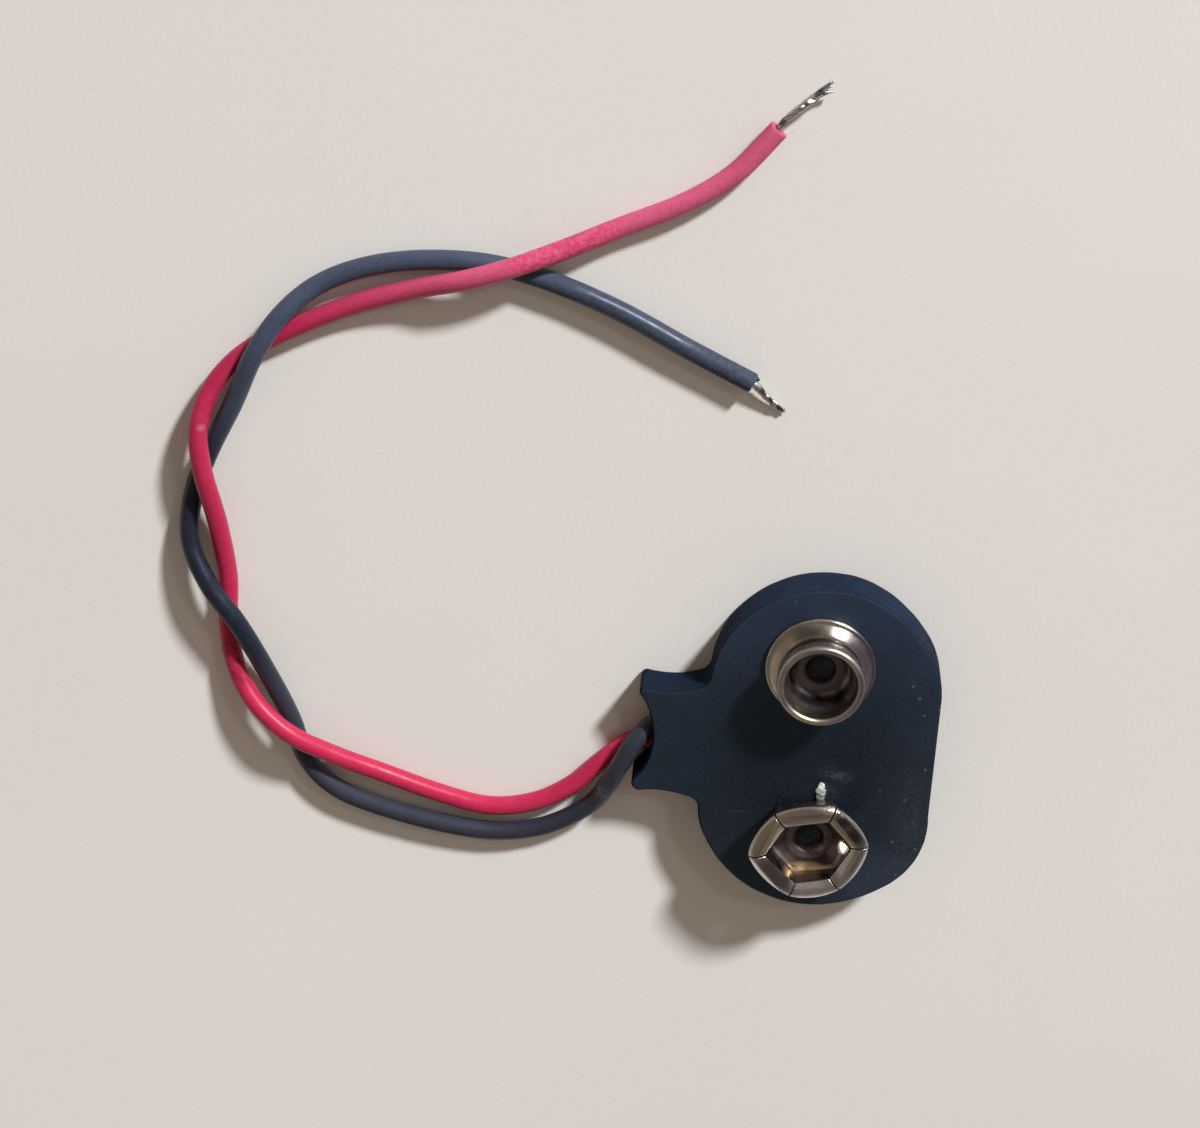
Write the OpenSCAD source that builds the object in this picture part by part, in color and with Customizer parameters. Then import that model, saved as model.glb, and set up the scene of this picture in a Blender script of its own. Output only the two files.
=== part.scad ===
// Snap connector for a 9 volt battery, with its lead exit in the middle of one long side.
// Millimetres. The back of the body lies on z = 0, the contacts point up and stand on the y axis,
// and the leads leave towards -x. The origin is midway between the contacts, on the back.

/* [Body] */
// Distance between the centres of the two contacts
contact_pitch = 12.7; // [12.4:0.1:13]
// Length of the body over its two round ends
body_length = 23.9; // [23:0.1:27]
// Width of the body, which is the diameter of its round ends
body_width = 15.3; // [14.5:0.1:17]
// How far the middle of the body lies beyond the line of the contacts
body_shift = 0.3; // [0:0.1:0.6]
// Turn of the cut body against the line of the contacts, in degrees
body_turn = -1.5; // [-3:0.5:3]
// Thickness of the stiff front sheet that carries the contacts
front_thickness = 0.8; // [0.6:0.1:1.2]
// Height of the soft back cover
cover_height = 2.2; // [2.2:0.1:3]
// Thickness of the floor of the cover
cover_floor = 0.4; // [0.2:0.05:0.4]
// Width of the rim of the cover, where it is welded to the front sheet
rim_width = 1.3; // [0.8:0.1:1.8]
// Radius of the rounded outer edges
edge_round = 0.3; // [0.1:0.05:0.35]

/* [Lead tab] */
// Distance from the line of the contacts to the tips of the tab
tab_reach = 12.8; // [12:0.05:14]
// Distance between the two tips, before they are rounded
tab_tip_width = 8.5; // [8:0.1:10]
// Width of the tab at its narrowest place
tab_waist = 7.5; // [6.5:0.1:7.8]
// Distance from the tips back to the narrowest place
waist_setback = 2.5; // [2:0.1:3]
// Radius of the hollow long edges of the tab
tab_side_radius = 7; // [6:0.5:10]
// How deep the end of the tab is hollowed
tab_hollow = 2; // [1:0.1:2.4]
// Radius in the corners where the tab meets the body
inner_round = 1; // [0.6:0.1:1.4]
// Radius of the tips
tip_round = 0.4; // [0.4:0.05:0.5]
// Play around the leads in the mouth of the tab
mouth_play = 0.1; // [0.05:0.01:0.12]

/* [Stud contact] */
// Thickness of the plated sheet that both contacts are drawn from
sheet = 0.3; // [0.2:0.05:0.35]
// Diameter of the bead that snaps into a socket
stud_diameter = 5.72; // [5.6:0.02:5.8]
// Height of the stud over the front sheet
stud_height = 2.95; // [2.7:0.05:3.2]
// Diameter of the opening inside the bead
stud_opening = 4.72; // [4.5:0.02:4.8]
// Diameter of the neck under the bead
stud_neck = 5.3; // [5.1:0.05:5.5]
// Diameter of the rounded flange
stud_flange = 7.28; // [7:0.02:7.6]
// Height of the flange
flange_height = 0.68; // [0.6:0.02:0.8]

/* [Socket contact] */
// Width of the six-sided socket across its corners
socket_corners = 7.84; // [7.6:0.02:8]
// Height of the socket over the front sheet
socket_height = 2.6; // [2.4:0.05:2.8]
// Width of the floor across the flats, inside its bend
socket_floor = 4.4; // [4.2:0.1:4.6]
// Turn of the six petals about the axis of the socket, in degrees
socket_turn = 9; // [0:1:30]
// Radius of the bend at the top of a petal
petal_bend = 0.35; // [0.3:0.05:0.4]
// Length of the flat lip that leans inward at the top of a petal
petal_lip = 0.35; // [0.2:0.05:0.5]
// Width of the slots between the petals
petal_gap = 0.18; // [0.1:0.02:0.3]

/* [Eyelets and solder tabs] */
// Outer diameter of the barrel of an eyelet
eyelet_barrel = 2.36; // [2:0.02:2.4]
// Diameter of the rolled ends of an eyelet
eyelet_head = 3.1; // [2.9:0.1:3.1]
// Thickness of the tube that an eyelet is rolled from
eyelet_wall = 0.22; // [0.18:0.02:0.26]
// Play around an eyelet in the sheets that it clamps
eyelet_play = 0.1; // [0.05:0.01:0.15]
// Diameter of the ring of a solder tab
tab_ring = 4; // [3.8:0.1:4.2]
// Diameter of the round end of its tongue
tongue_width = 1.8; // [1.6:0.1:2]
// Distance from the eyelet to the middle of the round end
tongue_reach = 3.1; // [2.9:0.1:3.3]
// Thickness of a solder tab
tab_sheet = 0.3; // [0.2:0.05:0.3]
// Radius of a solder joint
solder_radius = 0.75; // [0.6:0.05:0.8]

/* [Leads] */
// Diameter over the insulation
lead_diameter = 1.3; // [1:0.05:1.3]
// Diameter of the twisted bundle of strands
core_diameter = 0.5; // [0.4:0.02:0.6]
// Strands around the one in the middle
outer_strands = 6; // [5:1:7]
// Gap left at the end faces of the insulation
end_gap = 0.1; // [0.05:0.01:0.15]

/* [Hidden] */
$fn = 72;

// Route of the red lead: its inner end, the mouth, and then on the table, over and under the other lead
red_route = [
    [-4.7, -3.1, 1.1], [-6.3, -1.8, 1.1], [-8.4, -1.1, 1.1], [-10.6, -0.8, 1.1],
    [-12.3, -1.1, 0.75], [-14.1, -2.6, 0.75], [-16.3, -4.8, 0.75], [-18.9, -6.3, 0.75],
    [-22, -6.8, 0.75], [-25.5, -6, 0.75], [-29.3, -4.6, 0.9], [-32.6, -3, 1.6],
    [-35.4, -1.3, 2.2], [-37.7, 0.7, 1.8], [-39.1, 3.1, 1.1], [-39.6, 6.1, 0.75],
    [-39.5, 9.7, 0.8], [-39.9, 13.8, 1.5], [-40.6, 17.6, 2.1], [-40.8, 20.6, 1.9],
    [-39.9, 23.2, 1.2], [-37.8, 25.5, 0.8], [-34.5, 27.4, 0.75], [-30.7, 29.1, 0.75],
    [-26.9, 30.4, 1.2], [-23.6, 31.4, 2], [-20.6, 32.4, 2.1], [-17.4, 33.5, 1.3],
    [-14, 34.9, 0.75], [-10.2, 36.6, 0.75], [-7.2, 38.6, 0.75], [-4.7, 41.4, 0.75]];
// Far end of the bare strands of the red lead
red_tip = [-1.8, 44.1, 0.6];
// Route of the black lead, in the same order
black_route = [
    [-4.6, 3.6, 1.5], [-6.2, 2.3, 1.5], [-8.2, 1.6, 1.5], [-10.5, 0.9, 1.4],
    [-11.9, -0.3, 2.1], [-12.9, -2.1, 2.2], [-13.8, -4, 1.9], [-15.2, -6.2, 1.2],
    [-18.2, -8.2, 0.75], [-21.6, -8.8, 0.75], [-25.8, -8.3, 0.75], [-30, -7.2, 0.75],
    [-32.8, -5.9, 0.75], [-34.6, -3.8, 0.75], [-35.6, -0.7, 0.75], [-37, 3, 1.4],
    [-38.7, 6.8, 2.1], [-40.6, 9.6, 2], [-41.8, 12.4, 1.3], [-41.6, 15.4, 0.75],
    [-40.4, 18.6, 0.75], [-38.6, 22.2, 1.5], [-37, 25.8, 2.2], [-35.3, 28.4, 1.8],
    [-33, 30.3, 0.9], [-29.9, 31.6, 0.75], [-26.2, 32.2, 0.75], [-22.1, 32.1, 0.75],
    [-18.1, 31.1, 0.75], [-13.9, 29.4, 0.75], [-9.7, 27.2, 0.75], [-5.5, 25.1, 0.75]];
// Far end of the bare strands of the black lead, which touches the table
black_tip = [-3.4, 23.2, 0.35];

// Rings along each lead, and sides of each ring
lead_rings = 40;
lead_sides = 8;
// Turns of the strands over a bare end
strand_turns = 1.2;

// Levels of the stack, from the table up
front_top = cover_height + front_thickness;
tab_bottom = cover_height - tab_sheet;

// Places of the contacts
stud_place = [0, contact_pitch / 2];
socket_place = [0, -contact_pitch / 2];

// Circles that the outline is made of: the round end of the body, the hollow side of the tab,
// the corner between them, the hollow end of the tab and the tip
end_radius = body_width / 2;
end_centre = [body_shift, body_length / 2 - end_radius];
side_centre = [waist_setback - tab_reach, tab_waist / 2 + tab_side_radius];
hollow_radius = (pow(tab_tip_width / 2, 2) + pow(tab_hollow, 2)) / (2 * tab_hollow);
hollow_centre = [tab_hollow - tab_reach - hollow_radius, 0];
straight_x = body_shift - end_radius - inner_round;
round_corner = meet(end_centre, end_radius + inner_round, side_centre, tab_side_radius - inner_round, 1);
straight_corner = [straight_x, side_centre.y
    - sqrt(pow(tab_side_radius - inner_round, 2) - pow(straight_x - side_centre.x, 2))];
// The corner touches the round end or, on a longer body, the straight side beyond it
on_round_end = round_corner.y > end_centre.y;
corner_centre = on_round_end ? round_corner : straight_corner;
tip_centre = meet(side_centre, tab_side_radius + tip_round, hollow_centre, hollow_radius + tip_round, 1);

// Directions at which neighbouring circles touch
end_to_corner = on_round_end ? heading(end_centre, corner_centre) : 180;
side_to_corner = heading(side_centre, corner_centre);
side_to_tip = heading(side_centre, tip_centre);
tip_to_hollow = 360 + heading(tip_centre, hollow_centre);

// Mouth of the tab: one flat round-ended passage for both leads
mouth_radius = lead_diameter / 2 + 0.1 + mouth_play;
mouth_height = cover_floor + (cover_height - cover_floor) / 2;
mouth_low = (red_route[2].y + red_route[3].y) / 2;
mouth_high = (black_route[2].y + black_route[3].y) / 2;

// Direction in which each tongue points at the inner end of its lead
stud_tongue_turn = heading(stud_place, black_route[0]);
socket_tongue_turn = heading(socket_place, red_route[0]);

// Direction from one point to another, in degrees
function heading(from, to) = atan2(to.y - from.y, to.x - from.x);

// Point at distance r1 from c1 and r2 from c2, on one side of the line between them
function meet(c1, r1, c2, r2, side) =
    let (d = norm([c2.x - c1.x, c2.y - c1.y]),
         along = (r1 * r1 - r2 * r2 + d * d) / (2 * d),
         across = side * sqrt(r1 * r1 - along * along),
         u = [(c2.x - c1.x) / d, (c2.y - c1.y) / d])
    [c1.x + along * u.x - across * u.y, c1.y + along * u.y + across * u.x];

// Points along an arc, with both ends
function arc(centre, radius, from, to, steps) =
    [for (i = [0 : steps])
        let (a = from + (to - from) * i / steps)
        [centre.x + radius * cos(a), centre.y + radius * sin(a)]];

// Upper half of the outline of the body and its tab, moved inward by inset
function half_outline(inset) = concat(
    arc(end_centre, end_radius - inset, 0, end_to_corner, 30),
    arc(corner_centre, inner_round + inset, end_to_corner - 180, side_to_corner, 6),
    arc(side_centre, tab_side_radius + inset, side_to_corner, side_to_tip, 5),
    arc(tip_centre, tip_round - inset, side_to_tip + 180, tip_to_hollow, 6),
    arc(hollow_centre, hollow_radius + inset, tip_to_hollow - 180, 0, 7));

// Points that follow each other closer than this count as one
same_point = 0.0001;

function without_doubles(points) =
    [for (i = [0 : len(points) - 1])
        if (i == 0 || norm(points[i] - points[i - 1]) > same_point) points[i]];

// Whole outline, the lower half being the mirror image of the upper one
function outline(inset) =
    let (half = without_doubles(half_outline(inset)), n = len(half))
    concat(half, [for (i = [n - 2 : -1 : 0]) [half[i].x, -half[i].y]]);

// Insets and heights of a rounded edge that ends at height z, on the upper or the lower side
function rounded_top(z) =
    [for (a = [0 : 22.5 : 90]) [edge_round * (1 - cos(a)), z - edge_round * (1 - sin(a))]];
function rounded_bottom(z) =
    [for (a = [90 : -22.5 : 0]) [edge_round * (1 - cos(a)), z + edge_round * (1 - sin(a))]];

// Closed section of a bent sheet around its middle line
function sheet_section(path, thickness) =
    let (n = len(path),
         side = [for (i = [0 : n - 1])
             let (a = path[max(i - 1, 0)], b = path[min(i + 1, n - 1)], d = norm(b - a))
             [(a.y - b.y) / d, (b.x - a.x) / d] * thickness / 2])
    concat([for (i = [0 : n - 1]) path[i] + side[i]],
           [for (i = [n - 1 : -1 : 0]) path[i] - side[i]]);

// Point on the smooth curve through a route, t counting its points
function on_route(route, t) =
    let (last = len(route) - 1,
         i = min(floor(t), last - 1),
         f = t - i,
         a = route[max(i - 1, 0)],
         b = route[i],
         c = route[i + 1],
         d = route[min(i + 2, last)])
    0.5 * (2 * b + (c - a) * f + (2 * a - 5 * b + 4 * c - d) * f * f + (3 * b - a - 3 * c + d) * f * f * f);

function unit(v) = v / norm(v);

// Corners of the rings along a route
function tube_points(route, diameter) =
    let (last = len(route) - 1, small = 0.01)
    [for (ring = [0 : lead_rings - 1])
        let (t = last * ring / (lead_rings - 1),
             middle = on_route(route, t),
             ahead = unit(on_route(route, min(t + small, last)) - on_route(route, max(t - small, 0))),
             left = unit(cross([0, 0, 1], ahead)),
             up = cross(ahead, left))
        for (k = [0 : lead_sides - 1])
            let (a = 360 * (k + 0.5) / lead_sides)
            middle + (left * cos(a) + up * sin(a)) * diameter / 2];

// A solid between stacked outlines, given as inset and height
module stacked_outline(levels) {
    n = len(outline(0));
    points = [for (level = levels) for (p = outline(level[0])) [p.x, p.y, level[1]]];
    top = n * (len(levels) - 1);
    sides = [for (level = [0 : len(levels) - 2]) for (i = [0 : n - 1])
        let (j = (i + 1) % n, low = level * n)
        [low + i, low + i + n, low + j + n, low + j]];
    polyhedron(points, concat([[for (i = [0 : n - 1]) i]], sides, [[for (i = [n - 1 : -1 : 0]) top + i]]));
}

// A tube along a route
module lead_tube(route) {
    n = lead_sides;
    last_ring = n * (lead_rings - 1);
    sides = [for (ring = [0 : lead_rings - 2]) for (i = [0 : n - 1])
        let (j = (i + 1) % n, low = ring * n)
        each [[low + i, low + i + n, low + j + n], [low + i, low + j + n, low + j]]];
    polyhedron(tube_points(route, lead_diameter),
        concat([[for (i = [0 : n - 1]) i]], sides, [[for (i = [n - 1 : -1 : 0]) last_ring + i]]));
}

// Moves its child, which stands along z, so that it runs from one point towards another
module between(from, to) {
    v = to - from;
    translate(from) rotate([0, acos(v.z / norm(v)), heading([0, 0], v)]) children();
}

// Strands laid round a middle one, twisted over the whole length
module twisted_bundle(length) {
    strand = core_diameter / 3;
    linear_extrude(height = length, twist = 360 * strand_turns, slices = 10) {
        circle(d = strand * 1.2, $fn = 8);
        for (i = [0 : outer_strands - 1])
            rotate(360 * i / outer_strands) translate([strand, 0]) circle(d = strand, $fn = 8);
    }
}

// Stiff sheet with a rounded front edge and a hole for each eyelet
module front_sheet() {
    levels = concat([[0, cover_height]], rounded_top(front_top));
    color("#20262f") difference() {
        rotate(body_turn) stacked_outline(levels);
        for (place = [stud_place, socket_place])
            translate([place.x, place.y, cover_height - 1])
                cylinder(h = front_thickness + 2, d = eyelet_barrel + 2 * eyelet_play);
    }
}

// Room inside the cover: round ends behind the contacts, and a funnel where the leads part
module cover_room() {
    room_radius = end_radius - rim_width;
    room_edge = body_shift - room_radius;
    neck_x = red_route[2].x - 1;
    translate([0, 0, cover_floor]) linear_extrude(height = cover_height + 1) {
        hull() for (side = [-1, 1])
            translate([end_centre.x, side * end_centre.y]) circle(r = room_radius, $fn = 48);
        rotate(-body_turn)
            polygon([[0, -3.4], [room_edge, -3.4], [neck_x, mouth_low - mouth_radius],
                     [neck_x, mouth_high + mouth_radius], [room_edge, 4.3], [0, 4.3]]);
    }
}

// Passage that brings both leads from the room to the hollow end of the tab
module lead_passage() {
    translate([red_route[2].x + 1, 0, mouth_height]) rotate([0, -90, 0])
        linear_extrude(height = tab_reach / 2) hull() {
            for (y = [mouth_low, mouth_high]) translate([0, y]) circle(r = mouth_radius, $fn = 24);
        }
}

// Soft pan, cut level at the top, where it is welded all round to the front sheet
module back_cover() {
    levels = concat(rounded_bottom(0), [[0, cover_height + 1]]);
    color("#232a34") rotate(body_turn) difference() {
        stacked_outline(levels);
        cover_room();
        rotate(-body_turn) lead_passage();
        translate([-body_length, -body_length, cover_height]) cube([2 * body_length, 2 * body_length, 2]);
    }
}

// Drawn stud: a rounded flange, a neck, a bead that is folded back in, and a deep bowl
module stud_contact() {
    bead = stud_diameter / 2;
    neck = stud_neck / 2;
    opening = stud_opening / 2;
    bowl = neck - 2 * sheet;
    hole = eyelet_barrel / 2 + eyelet_play;
    fold = (bead - opening) / 2;
    flange_round = 0.43;
    neck_round = 0.25;
    bowl_round = 0.5;
    flange_place = [stud_flange / 2 - flange_round, flange_height - flange_round];
    flange_start = -asin(flange_place.y / flange_round);
    bowl_place = [bowl - bowl_round, sheet + bowl_round];
    // Where the outside of the bowl meets the underside of the flange
    bowl_end = asin((flange_height - sheet - bowl_place.y) / (bowl_round + sheet));
    section = concat(
        arc(flange_place, flange_round, flange_start, 90, 7),
        arc([neck + neck_round, flange_height + neck_round], neck_round, 270, 180, 5),
        [[neck, stud_height * 0.5], [bead, stud_height * 0.7]],
        arc([bead - fold, stud_height - fold], fold, 0, 180, 9),
        [[opening, stud_height * 0.75], [bowl, stud_height * 0.5]],
        arc(bowl_place, bowl_round, 0, -90, 6),
        [[hole, sheet], [hole, 0]],
        arc(bowl_place, bowl_round + sheet, -90, bowl_end, 5),
        arc(flange_place, flange_round - sheet, 90, flange_start, 5));
    color("#b8b0a6") translate([stud_place.x, stud_place.y, front_top]) rotate_extrude() polygon(section);
}

// Drawn socket: a six-sided bowl with walls that lean out and tops that are bent over inward,
// slit at the corners into six springy petals
module socket_contact() {
    half = sheet / 2;
    to_corner = 1 / cos(30);
    flat = socket_corners / 2 / to_corner - half;
    hole = eyelet_barrel / 2 + eyelet_play;
    floor_bend = 0.55;
    lean = 19;
    lip_turn = 110;
    slot_bottom = socket_height * 0.3;
    bend_place = [flat - petal_bend, socket_height - half - petal_bend];
    lip_start = bend_place + petal_bend * [cos(lip_turn), sin(lip_turn)];
    // Middle line of the sheet, seen square to one of the six sides
    path = concat(
        [[hole / 2, half]],
        arc([socket_floor / 2, half + floor_bend], floor_bend, -90, -lean, 5),
        arc(bend_place, petal_bend, -lean, lip_turn, 7),
        [lip_start - petal_lip * [sin(lip_turn), -cos(lip_turn)]]);
    color("#b8b0a6") translate([socket_place.x, socket_place.y, front_top]) rotate(socket_turn) difference() {
        rotate_extrude($fn = 6) polygon([for (p = sheet_section(path, sheet)) [p.x * to_corner, p.y]]);
        for (i = [0 : 5])
            rotate(60 * i) translate([socket_floor / 2, -petal_gap / 2, slot_bottom])
                cube([socket_corners, petal_gap, socket_height]);
        cylinder(h = 3 * sheet, r = hole, center = true);
    }
}

// Tube rolled out at both ends, which clamps contact, front sheet and solder tab together
module eyelet() {
    half = eyelet_wall / 2;
    barrel = eyelet_barrel / 2 - half;
    roll = 0.2;
    head = front_top + sheet + half;
    tail = tab_bottom - half;
    rim = eyelet_head / 2;
    path = concat(
        [[rim, head]],
        arc([barrel + roll, head - roll], roll, 90, 180, 5),
        arc([barrel + roll, tail + roll], roll, 180, 270, 5),
        [[rim, tail]]);
    rotate_extrude() polygon(sheet_section(path, eyelet_wall));
}

module stud_eyelet() {
    color("#a39b92") translate(stud_place) eyelet();
}

module socket_eyelet() {
    color("#a39b92") translate(socket_place) eyelet();
}

// Ring round the eyelet with a tongue for the strands, under the front sheet
module solder_tab() {
    translate([0, 0, tab_bottom]) linear_extrude(height = tab_sheet) difference() {
        union() {
            circle(d = tab_ring);
            translate([0, -tongue_width / 2]) square([tongue_reach, tongue_width]);
            translate([tongue_reach, 0]) circle(d = tongue_width);
        }
        circle(d = eyelet_barrel + 2 * eyelet_play);
    }
}

module stud_solder_tab() {
    color("#c9a25a") translate(stud_place) rotate(stud_tongue_turn) solder_tab();
}

module socket_solder_tab() {
    color("#c9a25a") translate(socket_place) rotate(socket_tongue_turn) solder_tab();
}

// Middle of the bundle of strands inside a solder joint
function joint_place(place, turn) =
    [place.x + tongue_reach * cos(turn), place.y + tongue_reach * sin(turn), tab_bottom - solder_radius / 2];

// Strands from the inner end of a lead into its solder joint
module inner_strands(route, place, turn, diameter) {
    joint = joint_place(place, turn);
    start = route[0] + unit(joint - route[0]) * end_gap;
    between(start, joint) cylinder(h = norm(joint - start), d = diameter, $fn = 24);
}

// Drop of solder under the end of a tongue, closed round the strands
module solder_joint(route, place, turn) {
    joint = joint_place(place, turn);
    difference() {
        translate([joint.x, joint.y, tab_bottom]) sphere(r = solder_radius, $fn = 32);
        translate([joint.x - 2, joint.y - 2, tab_bottom]) cube(4);
        inner_strands(route, place, turn, core_diameter);
    }
}

module black_solder_joint() {
    color("#9aa0a3") solder_joint(black_route, stud_place, stud_tongue_turn);
}

module red_solder_joint() {
    color("#9aa0a3") solder_joint(red_route, socket_place, socket_tongue_turn);
}

module black_inner_strands() {
    color("#c3bdb6") inner_strands(black_route, stud_place, stud_tongue_turn, core_diameter);
}

module red_inner_strands() {
    color("#c3bdb6") inner_strands(red_route, socket_place, socket_tongue_turn, core_diameter);
}

module black_lead() {
    color("#353b49") lead_tube(black_route);
}

module red_lead() {
    color("#cf3450") lead_tube(red_route);
}

// Stripped end of a lead
module bare_end(route, tip) {
    last = route[len(route) - 1];
    start = last + unit(tip - last) * end_gap;
    between(start, tip) twisted_bundle(norm(tip - start));
}

module black_bare_end() {
    color("#c3bdb6") bare_end(black_route, black_tip);
}

module red_bare_end() {
    color("#c3bdb6") bare_end(red_route, red_tip);
}

front_sheet();
back_cover();
stud_contact();
socket_contact();
stud_eyelet();
socket_eyelet();
stud_solder_tab();
socket_solder_tab();
black_solder_joint();
red_solder_joint();
black_inner_strands();
red_inner_strands();
black_lead();
red_lead();
black_bare_end();
red_bare_end();
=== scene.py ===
"""Looks of a snap connector for a rectangular battery, with its twisted pair of leads. Metres."""

import bpy
import bmesh
import math
import random
from mathutils import Matrix, Vector, noise


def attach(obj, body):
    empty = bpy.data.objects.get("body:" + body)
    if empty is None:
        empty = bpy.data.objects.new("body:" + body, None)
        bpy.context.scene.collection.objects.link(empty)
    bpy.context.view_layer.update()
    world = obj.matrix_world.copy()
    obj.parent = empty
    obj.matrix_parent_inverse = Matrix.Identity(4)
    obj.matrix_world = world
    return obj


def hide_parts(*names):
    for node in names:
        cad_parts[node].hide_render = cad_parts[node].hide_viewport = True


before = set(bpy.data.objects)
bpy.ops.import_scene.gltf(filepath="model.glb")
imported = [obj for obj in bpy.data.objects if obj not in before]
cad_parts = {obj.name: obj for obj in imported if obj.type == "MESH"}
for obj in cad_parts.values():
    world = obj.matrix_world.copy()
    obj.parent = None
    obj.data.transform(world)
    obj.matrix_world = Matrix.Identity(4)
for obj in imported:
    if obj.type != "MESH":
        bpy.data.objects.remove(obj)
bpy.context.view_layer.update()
scene = bpy.context.scene
MM = 0.001

# Camera, fitted to the photo: place in millimetres, focal length in pixels of the photo
PHOTO_WIDTH, FOCAL_LENGTH, SENSOR = 1200.0, 2533.0, 36.0
CAMERA_PLACE = Vector((-5.976, 81.756, 151.281))
CAMERA_RIGHT = Vector((0.99726, 0.02473, -0.06975))
CAMERA_BACK = Vector((0.05293, 0.42032, 0.90583))
NEAREST, FARTHEST = 0.01, 20.0


def add_camera():
    data = bpy.data.cameras.new("camera")
    data.sensor_fit = "HORIZONTAL"
    data.sensor_width = SENSOR
    data.lens = FOCAL_LENGTH / PHOTO_WIDTH * SENSOR
    data.clip_start = NEAREST
    data.clip_end = FARTHEST
    camera = bpy.data.objects.new("camera", data)
    back = CAMERA_BACK.normalized()
    up = back.cross(CAMERA_RIGHT.normalized()).normalized()
    matrix = Matrix((up.cross(back), up, back)).transposed().to_4x4()
    matrix.translation = CAMERA_PLACE * MM
    camera.matrix_world = matrix
    scene.collection.objects.link(camera)
    scene.camera = camera


add_camera()

# Sizes in millimetres: the body
PITCH = 12.7
BODY_LENGTH, BODY_WIDTH, BODY_SHIFT, BODY_TURN = 23.9, 15.3, 0.3, math.radians(-1.5)
COVER_TOP, FRONT_TOP, EDGE, TOP_EDGE = 2.2, 3.0, 0.3, 0.2
COVER_FLOOR, RIM = 0.4, 1.3
TAB_REACH, TIP_WIDTH, WAIST, SETBACK = 12.8, 8.5, 7.5, 2.5
SIDE_R, HOLLOW, INNER_R, TIP_R = 7.0, 2.0, 1.0, 0.4
FUNNEL_SIDES = (-3.4, 4.3)
STUD = Vector((0, PITCH / 2, 0))
SOCKET = Vector((0, -PITCH / 2, 0))
# The contacts and their eyelets
SHEET = 0.3
HALF_SHEET = SHEET / 2
FLOOR_HOLE = 1.36
STUD_TOP, BEAD_R, NECK_R, BOWL_OPEN_R, BOWL_BEND = 2.95, 2.86, 2.65, 2.36, 0.5
FLANGE_TOP, FLANGE_R, FLANGE_BEND, FLANGE_RIM = 0.68, 3.64, 0.43, 0.22
SOCKET_TOP, SOCKET_CORNERS, SOCKET_FLOOR, FLOOR_BEND = 2.6, 7.84, 4.4, 0.55
SOCKET_TURN, LEAN, LIP_TURN, LIP_BEND, LIP = 39, 19, 110, 0.35, 0.35
SLOT, CUT_R = 0.15, 0.055
EYELET_D, EYELET_PLAY, EYELET_WALL, EYELET_ROLL, EYELET_RIM = 2.36, 0.1, 0.22, 0.2, 1.55
# The leads and their strands
LEAD_D, MOUTH_PLAY = 1.3, 0.2
LEAD_SIDES, LEAD_RINGS = 28, 420
STRANDS, STRAND_R, CORE_STEPS = 7, 0.076, 63

RED_ROUTE = [
    (-4.7, -3.1, 1.1), (-6.3, -1.8, 1.1), (-8.4, -1.1, 1.1), (-10.6, -0.8, 1.1),
    (-12.3, -1.1, 0.75), (-14.1, -2.6, 0.75), (-16.3, -4.8, 0.75), (-18.9, -6.3, 0.75),
    (-22, -6.8, 0.75), (-25.5, -6, 0.75), (-29.3, -4.6, 0.9), (-32.6, -3, 1.6),
    (-35.4, -1.3, 2.2), (-37.7, 0.7, 1.8), (-39.1, 3.1, 1.1), (-39.6, 6.1, 0.75),
    (-39.5, 9.7, 0.8), (-39.9, 13.8, 1.5), (-40.6, 17.6, 2.1), (-40.8, 20.6, 1.9),
    (-39.9, 23.2, 1.2), (-37.8, 25.5, 0.8), (-34.5, 27.4, 0.75), (-30.7, 29.1, 0.75),
    (-26.9, 30.4, 1.2), (-23.6, 31.4, 2), (-20.6, 32.4, 2.1), (-17.4, 33.5, 1.3),
    (-14, 34.9, 0.75), (-10.2, 36.6, 0.75), (-7.2, 38.6, 0.75), (-4.7, 41.4, 0.75)]
BLACK_ROUTE = [
    (-4.6, 3.6, 1.5), (-6.2, 2.3, 1.5), (-8.2, 1.6, 1.5), (-10.5, 0.9, 1.4),
    (-11.9, -0.3, 2.1), (-12.9, -2.1, 2.2), (-13.8, -4, 1.9), (-15.2, -6.2, 1.2),
    (-18.2, -8.2, 0.75), (-21.6, -8.8, 0.75), (-25.8, -8.3, 0.75), (-30, -7.2, 0.75),
    (-32.8, -5.9, 0.75), (-34.6, -3.8, 0.75), (-35.6, -0.7, 0.75), (-37, 3, 1.4),
    (-38.7, 6.8, 2.1), (-40.6, 9.6, 2), (-41.8, 12.4, 1.3), (-41.6, 15.4, 0.75),
    (-40.4, 18.6, 0.75), (-38.6, 22.2, 1.5), (-37, 25.8, 2.2), (-35.3, 28.4, 1.8),
    (-33, 30.3, 0.9), (-29.9, 31.6, 0.75), (-26.2, 32.2, 0.75), (-22.1, 32.1, 0.75),
    (-18.1, 31.1, 0.75), (-13.9, 29.4, 0.75), (-9.7, 27.2, 0.75), (-5.5, 25.1, 0.75)]
RED_CORE = [(-5.3, 40.75, 0.75), (-4.72, 41.4, 0.75), (-4.36, 41.95, 0.76), (-3.84, 42.47, 0.75),
            (-3.32, 42.9, 0.73), (-2.8, 43.36, 0.7), (-2.28, 43.8, 0.67), (-1.78, 44.16, 0.63)]
BLACK_CORE = [(-6.2, 25.48, 0.75), (-5.55, 25.12, 0.74), (-5.08, 24.74, 0.68), (-4.64, 24.2, 0.55),
              (-4.14, 23.68, 0.42), (-3.66, 23.26, 0.3), (-3.3, 22.98, 0.2)]
# The cut end of the insulation, from its outside into its bore: share of the radius and distance outward
CUT_END = [(0.985, 0.04), (0.94, 0.09), (0.8, 0.1), (0.56, 0.06), (0.5, -0.02), (0.47, -0.5)]
# Direction that throws the lamp's light back to the camera
GLINT = Vector((0.271, 0.611, 0.744)).normalized()
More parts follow.
